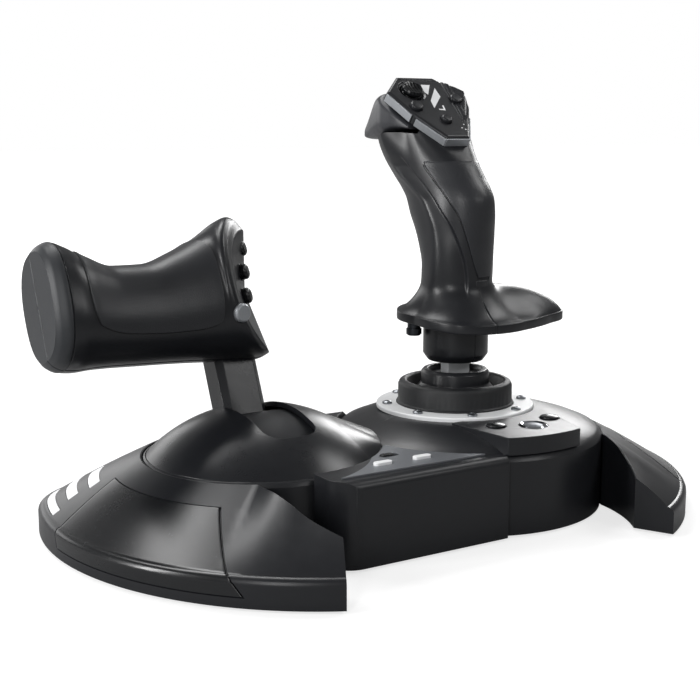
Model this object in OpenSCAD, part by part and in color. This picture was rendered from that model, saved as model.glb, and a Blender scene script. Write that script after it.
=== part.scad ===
// Flight joystick: a stick and a throttle joined by a bridge, with a wing on each side.
// X points to the user's right, Y away from the user, Z up. Z = 0 is the desk.
// X = 0 is the mid plane between the wings. All lengths are in millimetres.

/* [Base] */
// How far the stick housing reaches over the mid plane
housing_over = 20; // [17:0.5:23]
// Distance from the mid plane to the throttle housing's wall
throttle_gap = 10; // [8:0.5:12]
// Height of the rubber feet, which is the gap under the base
foot_h = 1.2; // [0.8:0.1:2.5]
// Radius of a rubber foot
foot_r = 7; // [5:0.5:9]
// Wall of the moulded housings
wall = 2.4; // [1.6:0.1:3]
// Thickness of the base plates
plate_t = 2; // [1.5:0.1:3]
// Gap between two fixed parts that meet
seam = 0.2; // [0.1:0.05:0.4]

/* [Stick housing] */
// Radius of the round stick housing
housing_r = 65; // [62:0.5:68]
// How far the housing's centre lies in front of the stick's axis
housing_back = 11; // [8:0.5:13]
// Height of the housing's shoulder
shoulder_z = 37; // [34:0.5:39]
// Height of the seat under the retaining ring
seat_z = 45; // [43:0.5:47]
// Height of the raised button panel
panel_z = 46.2; // [45:0.2:48]
// Outer radius of the retaining ring
ring_r = 39; // [37:0.5:42]
// Thickness of the retaining ring
ring_t = 2.2; // [1.5:0.1:3]
// Number of screws in the retaining ring
ring_screws_n = 8; // [6:1:10]

/* [Throttle housing] */
// Radius of the round throttle housing
throttle_r = 54; // [52:0.5:56]
// How far the dome's rim lies inside the throttle housing's wall
dome_inset = 2; // [1.6:0.1:3]
// Height of the dome's rim
dome_z = 36.5; // [34:0.5:38]
// Height of the dome above its rim
dome_rise = 21.5; // [18:0.5:24]
// Width of the slot in the dome
slot_w = 26; // [25:0.5:28]
// Length of the slot in the dome
slot_l = 66; // [62:1:70]

/* [Bridge] */
// Height of the bridge's flat top
bridge_z = 39; // [37:0.5:41]
// Distance from the stick's axis to the bridge's front face
bridge_front = 74.5; // [72:0.5:76]
// Distance from the stick's axis to the bridge's back face
bridge_back = 44; // [38:1:48]
// How far the bridge reaches past the throttle's axis on the left
bridge_reach = 4; // [2:0.5:12]
// Radius of the bridge's front left corner
bridge_corner_r = 12; // [8:1:14]
// Thickness of the metal-look plate on the bridge
trim_t = 0.8; // [0.5:0.1:1.5]

/* [Wings] */
// Radius of the wings' outer edge
wing_r = 133.5; // [130:0.5:136]
// Distance from the mid plane to the centre of the wing's outer edge
wing_cx = 25.5; // [24:0.5:27]
// Distance from the stick's axis to that centre, away from the user
wing_cy = 9.3; // [8:0.1:11]
// Height of the wings' upright skirt
skirt_z = 12; // [10:0.5:14]
// Height of the wing where it meets its housing
root_z = 36.5; // [34:0.5:38]
// Height of the wing's inner edge at its tip
tip_z = 24.5; // [22:0.5:27]
// Thickness of the glossy wing panels and stripes
inlay_t = 0.7; // [0.5:0.1:1]

/* [Stick] */
// Height of the gimbal's centre
gimbal_z = 40; // [39:0.5:41]
// Radius of the ball-shaped dust cover
ball_r = 24; // [23.5:0.1:24.3]
// Width of the shaft's flat bar
shaft_w = 12.8; // [11:0.2:14]
// Depth of the shaft's flat bar
shaft_d = 6.4; // [5:0.2:8]
// Height where the grip starts
grip_z = 68.5; // [68:0.5:71]
// Height of the cuff's top edge
cuff_z = 64; // [63:0.5:65]
// Radius of the gimbal's pins
pin_r = 2; // [1.6:0.1:2.2]
// Running clearance between a pin and its bore
run = 0.05; // [0.02:0.01:0.08]
// Most that the stick tilts each way
tilt_max = 12; // [8:1:12]

/* [Grip] */
// Radius of the grip's collar
collar_r = 16; // [15:0.5:17]
// Wall of the grip's half shells
grip_wall = 2.2; // [1.6:0.1:2.6]
// Height of the hand rest's lower edge at the user's side
rest_z = 85; // [83:0.5:87]
// Thickness of the hand rest's rim
rest_t = 4.8; // [4:0.2:6]
// Height where the column starts above the hand rest
column_z = 105; // [102:1:108]
// Height of the neck under the head
neck_z = 163; // [160:1:166]
// How far the neck swells forward under the trigger
neck_bulge = 5.5; // [3:0.5:7]
// Slope of the head's face
head_tilt = 38; // [32:1:40]
// Height of the head face's rear edge
head_z = 175.5; // [174:0.5:178]
// Height of the head's bezel
bezel_h = 4; // [3:0.2:5]
// Radius of the hat switch's cap
hat_r = 5.5; // [5:0.1:6]
// Travel of each button
button_travel = 1; // [0.6:0.1:1.2]

/* [Throttle lever] */
// Height of the throttle's pivot
pivot_z = 10; // [9:0.5:11]
// Forward lean of the throttle lever as shown
lean = 24; // [18:1:24]
// Radius of the throttle's axle
axle_r = 4; // [3:0.1:4.5]
// Width of the lever's arm
arm_w = 21; // [20:0.5:23]
// Distance from the throttle's mid plane to the arm's middle
arm_shift = 1.5; // [0:0.1:1.6]
// Depth of the lever's arm
arm_d = 18; // [16:0.5:19]
// Radius of the curved shield under the slot
shield_r = 43.5; // [42:0.5:44]
// Wall of the throttle handle's shells
handle_wall = 2.4; // [1.6:0.1:3]
// Distance from the mid plane to the handle's outer end
handle_left = 155; // [152:0.5:157]
// Distance from the mid plane to the handle's thumb end
handle_right = 50; // [48:0.5:52]

/* [Hidden] */
$fn = 48;
e = 0.01;
plate_z = foot_h;
inside_z = foot_h + plate_t;
housing_y = -housing_back;
stick_x = housing_r - housing_over;
throttle_x = throttle_r + throttle_gap;
dome_r = throttle_r - dome_inset;
dome_ball = (dome_r * dome_r + dome_rise * dome_rise) / (2 * dome_rise);
dome_cz = dome_z + dome_rise - dome_ball;
wing_back = 128;
wing_tip = 242.9;
side_gap = 0.3;

// ---------- helpers ----------

// A point at an angle and a radius
function polar(a, r) = [r * cos(a), r * sin(a)];
function mix(a, b, t) = a * (1 - t) + b * t;
// Smooth step from 0 to 1
function ease(t) = let (s = max(0, min(1, t))) s * s * (3 - 2 * s);
// Distance from c along direction d to the far side of a circle with centre q and radius r
function ray_circle(c, d, q, r) =
    let (w = q - c, b = w * d) b + sqrt(max(0, b * b - w * w + r * r));

// Solid skinned over a list of rings. Every ring is a closed loop of the same number of points.
// closed = false: each ring is an outer arc followed by its inner arc reversed, and the two
// ends are closed by strips between the arcs. closed = true: the last ring joins the first.
module loft(rings, closed = false) {
    n = len(rings[0]);
    m = len(rings);
    half = n / 2;
    sides = [for (k = [0 : m - (closed ? 1 : 2)]) for (i = [0 : n - 1])
        let (k2 = (k + 1) % m, j = (i + 1) % n)
        each [[k * n + i, k2 * n + j, k * n + j], [k * n + i, k2 * n + i, k2 * n + j]]];
    ends = closed ? [] : [for (i = [0 : half - 2]) each [
        [i, i + 1, n - 1 - i], [i + 1, n - 2 - i, n - 1 - i],
        [(m - 1) * n + i, (m - 1) * n + n - 1 - i, (m - 1) * n + i + 1],
        [(m - 1) * n + i + 1, (m - 1) * n + n - 1 - i, (m - 1) * n + n - 2 - i]]];
    polyhedron(points = [for (r = rings) each r], faces = concat(sides, ends), convexity = 8);
}

// Solid skinned over rings, with flat convex ends
module solid_loft(rings) {
    n = len(rings[0]);
    m = len(rings);
    sides = [for (k = [0 : m - 2]) for (i = [0 : n - 1]) let (j = (i + 1) % n)
        each [[k * n + i, (k + 1) * n + j, k * n + j], [k * n + i, (k + 1) * n + i, (k + 1) * n + j]]];
    ends = [[for (i = [0 : n - 1]) i], [for (i = [n - 1 : -1 : 0]) (m - 1) * n + i]];
    polyhedron(points = [for (r = rings) each r], faces = concat(sides, ends), convexity = 8);
}

// Round disc with a small chamfer on its upper edge
module pad(r, h, c = 0.4) {
    rotate_extrude()
        polygon([[0, 0], [r, 0], [r, h - c], [r - c, h], [0, h]]);
}

// Domed screw head with a six-sided socket, standing on z = 0
module screw_head(r, h) {
    difference() {
        intersection() {
            cylinder(r = r, h = h);
            translate([0, 0, h - 2 * r])
                sphere(r = 2 * r);
        }
        translate([0, 0, h * 0.4])
            cylinder(r = r * 0.45, h = h, $fn = 6);
    }
}

module at_stick() {
    translate([stick_x, 0, 0])
        children();
}

module at_housing() {
    translate([stick_x, housing_y, 0])
        children();
}

module at_dome() {
    translate([-throttle_x, 0, 0])
        children();
}

// ---------- base ----------

// Half outline of the stick housing's outside, turned round its own centre
function housing_profile(d) = [
    [0, plate_z], [housing_r - d, plate_z], [housing_r - d, shoulder_z - 2],
    [housing_r - 0.9 - d, shoulder_z], [housing_r - 3 - d, shoulder_z + 1.6 - d],
    [housing_r - 9, shoulder_z + 4 - d], [housing_r - 17, shoulder_z + 6.4 - d],
    [housing_r - 26, shoulder_z + 8.2 - d], [0, shoulder_z + 8.6 - d]];

boot_base_r = 29;

// The stick housing's foot is cut back where the throttle housing stands
module throttle_cut() {
    at_dome() translate([0, 0, -1]) cylinder(r = throttle_r + seam, h = dome_z + 20, $fn = 96);
}

module stick_housing() {
    color("#1b1c1e")
    difference() {
        union() {
            difference() {
                at_housing() rotate_extrude($fn = 96) polygon(housing_profile(0));
                translate([0, 0, -e]) at_housing() rotate_extrude($fn = 96) polygon(housing_profile(wall));
                at_stick() translate([0, 0, seat_z]) cylinder(r = ring_r + seam, h = 20);
                panel_block(0.05);
            }
            for (p = housing_screws) boss(p);
        }
        at_stick() cylinder(r = boot_base_r + 0.1, h = 100);
        throttle_cut();
        plate_cut();
    }
}
housing_screws = [for (a = [30, 90, 150, 210, 330]) [stick_x, housing_y] + polar(a, housing_r - 5)];
throttle_screws = [for (a = [45, 135, 225]) [-throttle_x, 0] + polar(a, throttle_r - 5)];
bridge_screws = [[-12, 5 - bridge_front], [-52, 5 - bridge_front]];
rear_gap_x = stick_x - sqrt(pow(housing_r, 2) - pow(bridge_back - 5 - housing_y, 2));
rear_screws = [[rear_gap_x - 6.5, bridge_back - 5]];
base_screw_at = concat(housing_screws, throttle_screws, bridge_screws, rear_screws);

// Post that takes a base screw
module boss(p) {
    translate([p[0], p[1], inside_z + 0.1]) difference() {
        cylinder(r = 3.4, h = 11);
        translate([0, 0, -1]) cylinder(r = 1.45, h = 7);
    }
}

// Outline of the whole base, without the wings
module base_outline(d) {
    translate([-throttle_x, 0]) circle(r = throttle_r - d, $fn = 96);
    translate([stick_x, housing_y]) circle(r = housing_r - d, $fn = 96);
    bridge_plan(d);
}

// Space that the base plate fills, plus its clearance
module plate_cut() {
    translate([0, 0, plate_z - 1]) linear_extrude(plate_t + 1.1) base_outline(1);
}

// One plate that closes the base from below
module base_plate() {
    color("#161718")
    difference() {
        translate([0, 0, plate_z]) linear_extrude(plate_t) base_outline(1 + seam);
        for (p = base_screw_at) translate([p[0], p[1], plate_z - e]) {
            cylinder(r = 1.5, h = 10);
            cylinder(r1 = 2.75, r2 = 1.5, h = 1.5);
        }
    }
}

// Raised block at the housing's front that carries the home buttons
module panel_block(grow) {
    difference() {
        intersection() {
        at_housing() cylinder(r = housing_r, h = panel_z + grow, $fn = 96);
        translate([0, 0, shoulder_z + 1])
            linear_extrude(panel_z + grow - shoulder_z - 1)
                polygon([[stick_x - 27 - grow, -34], [stick_x - 22 - grow, -90],
                         [stick_x + 12 + grow, -90], [stick_x + 28 + grow, -34]]);
        }
        at_stick() cylinder(r = ring_r + 1 - grow, h = 100);
    }
}
home_at = [[-14, -50.5], [2, -58], [18, -50.5]];
home_r = [4.4, 6.2, 4.4];

module home_panel() {
    color("#17181a")
    difference() {
        panel_block(0);
        for (i = [0 : 2])
            at_stick() translate([home_at[i][0], home_at[i][1], panel_z - 3.4])
                cylinder(r = home_r[i] + side_gap, h = 10);
    }
}

// Small domed button standing in its hole
module home_key(i, r, rise) {
    at_stick() translate([home_at[i][0], home_at[i][1], panel_z - 2.2])
        intersection() {
            cylinder(r = r, h = 2.2 + rise);
            translate([0, 0, 2.2 + rise - 3 * r]) sphere(r = 3 * r);
        }
}

module share_button() {
    color("#0f1011") home_key(0, home_r[0], 1.6);
}

module menu_button() {
    color("#0f1011") home_key(2, home_r[2], 1.6);
}

module home_button() {
    color("#3b3d40") home_key(1, home_r[1] - 1.6, 0.9);
}

module home_ring() {
    color("#b9bcbf")
    at_stick() translate([home_at[1][0], home_at[1][1], panel_z - 3.4])
        rotate_extrude()
            polygon([[home_r[1] - 1.3, 0], [home_r[1], 0], [home_r[1] + side_gap - 0.02, 3.4],
                     [home_r[1] + side_gap + 0.5, 3.45], [home_r[1] - 0.2, 4.1], [home_r[1] - 1.3, 3.7]]);
}

// Flat ring that clamps the boot, with a bolt circle
ring_bolt_r = (boot_base_r + ring_r) / 2 + 0.3;
module retaining_ring() {
    color("#eceded")
    at_stick() translate([0, 0, seat_z])
    difference() {
        rotate_extrude($fn = 96)
            polygon([[boot_base_r + seam, 0], [ring_r, 0], [ring_r, ring_t - 0.5],
                     [ring_r - 0.5, ring_t], [boot_base_r + seam, ring_t]]);
        for (i = [0 : ring_screws_n - 1])
            rotate(22.5 + i * 360 / ring_screws_n)
                translate([ring_bolt_r, 0, -e]) cylinder(r = 1.3, h = 10);
    }
}

module ring_screws() {
    color("#9a9da1")
    at_stick() translate([0, 0, seat_z + ring_t])
        for (i = [0 : ring_screws_n - 1])
            rotate(22.5 + i * 360 / ring_screws_n) translate([ring_bolt_r, 0, 0]) {
                screw_head(2.4, 1.5);
                translate([0, 0, -ring_t]) cylinder(r = 1.25, h = ring_t);
            }
}

// Rubber dust boot: an upright collar whose inside follows the ball cover
lip_z = gimbal_z + 12;
boot_z = 58.6;
lip_r = sqrt(pow(ball_r + 0.5, 2) - 144);
module rubber_boot() {
    color("#2a2b2d")
    at_stick()
    rotate_extrude($fn = 96)
        polygon([[boot_base_r, seat_z - wall], [boot_base_r, seat_z + ring_t + 0.6],
                 [boot_base_r - 0.8, seat_z + ring_t + 1.2], [boot_base_r - 0.8, boot_z - 2.4],
                 [boot_base_r - 1.5, boot_z - 0.8], [boot_base_r - 3, boot_z], [boot_base_r - 4.2, boot_z],
                 [boot_base_r - 5.2, boot_z - 0.7], [lip_r, lip_z], [lip_r + 0.8, lip_z - 2],
                 [boot_base_r - 2.6, seat_z + 1], [boot_base_r - 2.2, seat_z - wall]]);
}

// Outline of the bridge, seen from above, running through under both round housings
module bridge_plan(d) {
    left = -throttle_x - bridge_reach;
    long = stick_x - 25 - left;
    r = bridge_corner_r;
    translate([left + d, r - bridge_front]) square([long - 2 * d, bridge_front - r + bridge_back - d]);
    translate([left + r, d - bridge_front]) square([long - r - d, 30]);
    translate([left + r, r - bridge_front]) circle(r = r - d);
}

module bridge_outline(d) {
    difference() {
        bridge_plan(d);
        translate([-throttle_x, 0]) circle(r = throttle_r + seam + d, $fn = 96);
        translate([stick_x, housing_y]) circle(r = housing_r + seam + d, $fn = 96);
    }
}

// Side view of the bridge, with its front edge rounded and its back edge chamfered
module bridge_side(d) {
    r = 4;
    k = d * (sqrt(2) - 1);
    polygon([[d - bridge_front, -1], [bridge_back - d, -1], [bridge_back - d, bridge_z - r - k],
             [bridge_back - r - k, bridge_z - d], [r - bridge_front, bridge_z - d],
             [d - bridge_front, bridge_z - r]]);
    translate([r - bridge_front, bridge_z - r])
        circle(r = r - d);
}

module bridge_solid(d) {
    intersection() {
        translate([0, 0, plate_z]) linear_extrude(bridge_z) bridge_outline(d);
        translate([-200, 0, 0]) rotate([90, 0, 90]) linear_extrude(400) bridge_side(d);
    }
}
trim_buttons = [[-26, -47.5], [-36.5, -58.5], [-16.5, -59]];

// The bridge's front part ends and its rear part starts where the two round housings close up
front_to = -32;
rear_from = 28;
module bridge_shell(rear, screws) {
    difference() {
        union() {
            difference() {
                bridge_solid(0);
                translate([0, 0, -e]) bridge_solid(wall);
            }
            intersection() {
                for (p = screws) boss(p);
                bridge_solid(0.01);
            }
        }
        plate_cut();
        translate([-300, rear ? rear_from - 400 : front_to, -1]) cube([600, 400, 200]);
    }
}

module front_bridge() {
    color("#1c1d1f")
    difference() {
        bridge_shell(false, bridge_screws);
        for (p = trim_buttons) translate([p[0], p[1], bridge_z - 8]) oval_hole(9, 3.6, side_gap);
    }
}

module rear_bridge() {
    color("#1c1d1f")
    difference() {
        bridge_shell(true, rear_screws);
        translate([gland_x, bridge_back - wall / 2, gland_z]) rotate([90, 0, 0])
            cylinder(r = gland_r + seam, h = 3 * wall, center = true);
    }
}
gland_x = -16;
gland_z = 20;
gland_r = 5;
lead_r = 3;

// Slot with round ends, l long and w wide
module oval_hole(l, w, grow, h = 20) {
    linear_extrude(h) {
        square([l - w, w + 2 * grow], center = true);
        for (s = [-1, 1]) translate([s * (l - w) / 2, 0]) circle(r = w / 2 + grow);
    }
}

module bridge_trim() {
    color("#a9acb0")
    difference() {
        translate([0, 0, bridge_z + 0.02]) linear_extrude(trim_t) difference() {
            intersection() {
                translate([-70, -bridge_front + 6.5]) square([90, bridge_front - 6.5 + front_to - 0.5]);
                bridge_outline(1);
            }
            translate([-throttle_x - 20, -10]) circle(r = throttle_r + 7.6, $fn = 96);
        }
        for (p = trim_buttons) translate([p[0], p[1], bridge_z - 8]) oval_hole(9, 3.6, side_gap);
    }
}

module trim_key(i, rise) {
    translate([trim_buttons[i][0], trim_buttons[i][1], bridge_z - 3])
        oval_hole(9, 3.6, 0, 3 + trim_t + rise);
}

module mapping_button() {
    color("#e8e9ea") trim_key(1, 1.2);
}

module preset_button() {
    color("#e8e9ea") trim_key(2, 1.2);
}

module mode_switch() {
    color("#0e0f10") {
        translate([trim_buttons[0][0] - 1.2, trim_buttons[0][1], bridge_z - 3]) oval_hole(6.4, 3.4, 0, 3 + trim_t + 0.7);
    }
}

// ---------- throttle base ----------

module throttle_housing() {
    color("#1c1d1f")
    difference() {
        union() {
            at_dome() rotate_extrude($fn = 96)
                polygon([[throttle_r - wall, plate_z], [throttle_r, plate_z], [throttle_r, dome_z - 2.2],
                     [throttle_r - 0.8, dome_z - 0.5], [throttle_r - 1.6, dome_z], [dome_r + seam, dome_z],
                     [dome_r + seam, dome_z - 2.2], [dome_r - 3, dome_z - 2.2], [dome_r - 3, dome_z - 4.4],
                     [throttle_r - wall - 0.4, dome_z - 4.4], [throttle_r - wall, dome_z - 6]]);
            for (p = throttle_screws) boss(p);
        }
        plate_cut();
    }
}

// Shell of a ball, standing on the rim ledge, with the lever's slot
module throttle_dome() {
    t = 2.4;
    rim = dome_z - 2.2;
    color("#222325")
    at_dome()
    difference() {
        intersection() {
            translate([0, 0, dome_cz]) sphere(r = dome_ball, $fn = 120);
            translate([0, 0, rim]) cylinder(r = dome_r, h = 60, $fn = 96);
        }
        translate([0, 0, dome_cz]) sphere(r = dome_ball - t, $fn = 120);
        translate([0, 0, rim - e]) cylinder(r = dome_r - 2.2, h = 2);
        dome_slot();
    }
}

module dome_slot() {
    c = 9;
    translate([0, 0, dome_z]) linear_extrude(60) {
        square([slot_w, slot_l - 2 * c], center = true);
        square([slot_w - 2 * c, slot_l], center = true);
        for (i = [-1, 1], j = [-1, 1]) translate([i * (slot_w / 2 - c), j * (slot_l / 2 - c)]) circle(r = c);
    }
}

// ---------- wings ----------

// Inner radius of a wing, seen from the centre of its outer edge. Left hand wing: the body is
// the throttle housing. Right hand wing, mirrored: the body is the stick housing.
function wing_body(right) = right ? [[-stick_x, housing_y], housing_r + seam] : [[-throttle_x, 0], throttle_r + seam];
function wing_inner(a, right) =
    let (c = [-wing_cx, wing_cy], d = [cos(a), sin(a)], q = wing_body(right),
         body = ray_circle(c, d, q[0], q[1]), free = ray_circle(c, d, [-14, -51], 77))
    max(body, free);
function wing_edge_z(a) = lookup(a, [[226, root_z], [231, root_z - 2.2], [235.5, root_z - 6.4], [wing_tip, tip_z]]);

// Outer radius of a wing, drawn in towards its back end
function wing_outer(a, right) = mix(wing_inner(a, right) + 9, wing_r, ease((a - wing_back + 14) / 50));

// Point on a wing's outside. v runs from 0 at the inner edge over the slope, 0.7 to 0.8 round
// the outer edge, and down the skirt to 1. lift moves it out along the surface.
function wing_point(a, v, right, lift = 0) =
    let (ri = wing_inner(a, right), zi = wing_edge_z(a), ro = wing_outer(a, right),
         t = v / 0.7, s = (v - 0.7) / 0.1, k = (v - 0.8) / 0.2,
         rz = v <= 0.7 ? [mix(ri, ro - 3, t), mix(zi, skirt_z + 1.6, t) + 3.2 * t * (1 - t)]
            : v <= 0.8 ? [ro - 3 + 3 * sin(90 * s), skirt_z - 1.4 + 3 * cos(90 * s)]
            : [ro, mix(skirt_z - 1.4, plate_z, k)],
         slope = atan2(zi - skirt_z, ro - 3 - ri),
         tilt = v <= 0.7 ? 90 - slope : v <= 0.8 ? mix(90 - slope, 0, s) : 0,
         r = rz[0] + lift * cos(tilt), z = rz[1] + lift * sin(tilt))
    [-wing_cx + r * cos(a), wing_cy + r * sin(a), z];

wing_v = [0, 0.1, 0.24, 0.38, 0.52, 0.62, 0.7, 0.733, 0.767, 0.8, 1];

function wing_full_ring(a, right) =
    let (c = [-wing_cx, wing_cy], ri = wing_inner(a, right))
    concat([[each (c + polar(a, ri)), plate_z]], [for (v = wing_v) wing_point(a, v, right)]);

// Section of the hollow under a wing, open at the bottom
function wing_hollow_ring(a, right) =
    let (c = [-wing_cx, wing_cy], ri = wing_inner(a, right) + wall, ro = wing_outer(a, right) - wall)
    concat([[each (c + polar(a, ri)), plate_z - 1]],
           [for (t = [0, 0.2, 0.4, 0.6, 0.8, 1]) let (v = mix(0.02, 0.69, t), p = wing_point(a, v, right))
               [each (c + polar(a, mix(ri, ro, t))), min(p[2], wing_point(a, 0.69 * t, right)[2]) - wall * 1.25]],
           [[each (c + polar(a, ro)), plate_z - 1]]);

module wing(right) {
    n = 26;
    step = (wing_tip - wing_back) / n;
    end_wall = 1.2;
    inner_step = (wing_tip - wing_back - 2 * end_wall) / n;
    difference() {
        solid_loft([for (k = [0 : n]) wing_full_ring(wing_back + k * step, right)]);
        solid_loft([for (k = [0 : n]) wing_hollow_ring(wing_back + end_wall + k * inner_step, right)]);
    }
}

// Thin skin on a wing between two angles that may differ at its two edges
module wing_patch(a_top, a_low, v0, v1, right, n, m) {
    function vs(j) = mix(v0, v1, j / m);
    loft([for (i = [0 : n]) let (t = i / n)
        concat([for (j = [0 : m]) wing_point(mix(mix(a_top[0], a_low[0], j / m), mix(a_top[1], a_low[1], j / m), t),
                                             vs(j), right, 0.3 + inlay_t)],
               [for (j = [m : -1 : 0]) wing_point(mix(mix(a_top[0], a_low[0], j / m), mix(a_top[1], a_low[1], j / m), t),
                                             vs(j), right, 0.3)])]);
}

module wing_panel(right) {
    wing_patch([177, 215], [181, 226], 0.22, 0.91, right, 16, 12);
}

module wing_stripes(right) {
    for (v = [[0.315, 0.4, 158], [0.475, 0.555, 155.5], [0.625, 0.685, 157]])
        wing_patch([v[2], v[2] + 14], [v[2], v[2] + 16], v[0], v[1], right, 5, 1);
}

module left_wing() {
    color("#1b1c1e") wing(false);
}

module right_wing() {
    color("#1b1c1e") mirror([1, 0, 0]) wing(true);
}

module left_wing_panel() {
    color("#0c0d0e") wing_panel(false);
}

module right_wing_panel() {
    color("#0c0d0e") mirror([1, 0, 0]) wing_panel(true);
}

module wing_stripe_inlays() {
    color("#f2f2f0") {
        wing_stripes(false);
        mirror([1, 0, 0]) wing_stripes(true);
    }
}

// ---------- inside the base ----------

post_y = 22;
module gimbal_frame() {
    color("#2f3134")
    at_stick()
    difference() {
        union() {
            translate([-12, -post_y - 3, inside_z]) cube([24, 2 * post_y + 6, 2.5]);
            for (s = [-1, 1]) translate([-7, s * post_y - 2.5 * (1 + s) + (s < 0 ? 0 : 2.5) - (s < 0 ? 2.5 : 0), inside_z])
                cube([14, 5, gimbal_z + 3.5 - inside_z]);
        }
        translate([0, 0, gimbal_z]) rotate([90, 0, 0]) cylinder(r = pin_r + run, h = 100, center = true);
        translate([0, 0, inside_z - e]) cylinder(r = 9, h = 5);
    }
}

yoke_r = 16.5;
yoke_in = 11.5;
module gimbal_yoke() {
    color("#6d7074")
    at_stick() translate([0, 0, gimbal_z])
    difference() {
        union() {
            difference() {
                cylinder(r = yoke_r, h = 7, center = true);
                cylinder(r = yoke_in, h = 10, center = true);
            }
            for (s = [0, 180]) rotate(s) translate([0, yoke_r - 2, 0]) rotate([-90, 0, 0]) cylinder(r = pin_r, h = post_y + 1.5 - yoke_r + 2);
        }
        rotate([0, 90, 0]) cylinder(r = pin_r + run, h = 60, center = true);
    }
}

module pitch_pin() {
    color("#b4b7ba")
    at_stick() translate([0, 0, gimbal_z]) rotate([0, 90, 0]) cylinder(r = pin_r, h = 2 * yoke_r - 1, center = true);
}

foot_z = 18;
// The shaft's foot is part of a ball about the gimbal's centre, so the spring under it stays seated
module stick_shaft() {
    foot_ball = gimbal_z - foot_z;
    color("#c9cbcc")
    at_stick()
    difference() {
        union() {
            translate([-shaft_w / 2, -shaft_d / 2, gimbal_z + 14]) cube([shaft_w, shaft_d, grip_z - gimbal_z - 14]);
            translate([0, 0, foot_z + 2]) cylinder(r = 6, h = gimbal_z + 16 - foot_z - 2);
            intersection() {
                translate([0, 0, gimbal_z]) sphere(r = foot_ball);
                cylinder(r = 30, h = gimbal_z - foot_ball * cos(40));
            }
            translate([0, 0, grip_z - e]) cylinder(r = 5, h = 36);
        }
        translate([0, 0, gimbal_z]) rotate([0, 90, 0]) cylinder(r = pin_r + 0.02, h = 60, center = true);
    }
}

// Ball-shaped dust cover that tilts with the shaft
cuff_r = 16.8;
module shaft_cuff() {
    cuff_wall = 1.6;
    foot = sqrt(ball_r * ball_r - cuff_r * cuff_r);
    skirt = 11;
    top = cuff_z - gimbal_z;
    color("#2a2b2d")
    at_stick() translate([0, 0, gimbal_z])
    difference() {
        union() {
            difference() {
                intersection() {
                    sphere(r = ball_r, $fn = 96);
                    translate([0, 0, skirt]) cylinder(r = 40, h = foot - skirt + 0.3);
                }
                sphere(r = ball_r - cuff_wall, $fn = 96);
            }
            rotate_extrude() polygon([[cuff_r - 4.3, foot - 0.5], [cuff_r, foot], [cuff_r, top - 1.4],
                [cuff_r - 1.2, top], [cuff_r - 3.3, top], [cuff_r - 4.3, top - 1.6]]);
            translate([0, 0, top - 4.6]) cylinder(r = cuff_r - 4, h = 2);
        }
        translate([-shaft_w / 2 - 0.02, -shaft_d / 2 - 0.02, 0]) cube([shaft_w + 0.04, shaft_d + 0.04, 100]);
    }
}

// Coil spring under the shaft's foot
spring_r = 10.5;
module return_spring() {
    turns = 4;
    wire = 0.8;
    steps = 20;
    h = 19.8 - inside_z - 2.55 - 2 * wire;
    function coil(k) = let (a = k * 360 / steps, z = inside_z + 2.55 + wire + h * k / (turns * steps))
        [for (i = [0 : 5]) let (b = -i * 60, r = spring_r + wire * cos(b))
            [r * cos(a), r * sin(a), z + wire * sin(b)]];
    color("#8d9094")
    at_stick() solid_loft([for (k = [0 : turns * steps]) coil(k)]);
}

board_x = stick_x - 21;
board_y = housing_y - housing_r + 11;
board_at = [for (x = [3, 37]) for (y = [3, 19]) [board_x + x, board_y + y]];
module main_board() {
    color("#1f5a34") {
        translate([board_x, board_y, inside_z + 3.4]) cube([40, 22, 1.6]);
        for (p = board_at) translate([p[0], p[1], inside_z]) cylinder(r = 2.6, h = 3.5);
        translate([board_x + 10, board_y + 7, inside_z + 4.9]) cube([9, 9, 1.5]);
        translate([board_x + 26, board_y + 5, inside_z + 4.9]) cube([7, 5, 3]);
    }
}

module weight_plate() {
    color("#777b80")
    translate([-throttle_x - throttle_r + 22, 20, inside_z]) cube([2 * throttle_r - 44, 12, 5]);
}

feet_at = [[0, 0], [stick_x - 30, -44], [stick_x + 36, -44], [stick_x + 10, 42], [-throttle_x - 20, -34],
           [-throttle_x - 14, 38]];
module rubber_feet() {
    color("#101112")
    for (p = feet_at) translate([p[0], p[1], 0]) cylinder(r = foot_r, h = foot_h);
}

module base_screws() {
    color("#9a9da1")
    for (p = base_screw_at) translate([p[0], p[1], plate_z]) {
        cylinder(r = 1.4, h = 7);
        cylinder(r1 = 2.6, r2 = 1.4, h = 1.4);
    }
}

// Gland for a lead, in the back wall of the bridge
module cable_gland() {
    color("#151617")
    translate([gland_x, bridge_back - wall - 1.5, gland_z]) rotate([-90, 0, 0])
    rotate_extrude() polygon([[lead_r, 0], [gland_r + 1.4, 0], [gland_r + 1.4, 1.3], [gland_r, 1.3],
                              [gland_r, wall + 1.7], [gland_r + 1.2, wall + 1.7],
                              [gland_r + 0.2, wall + 5], [lead_r, wall + 5]]);
}

// ---------- grip ----------

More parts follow.
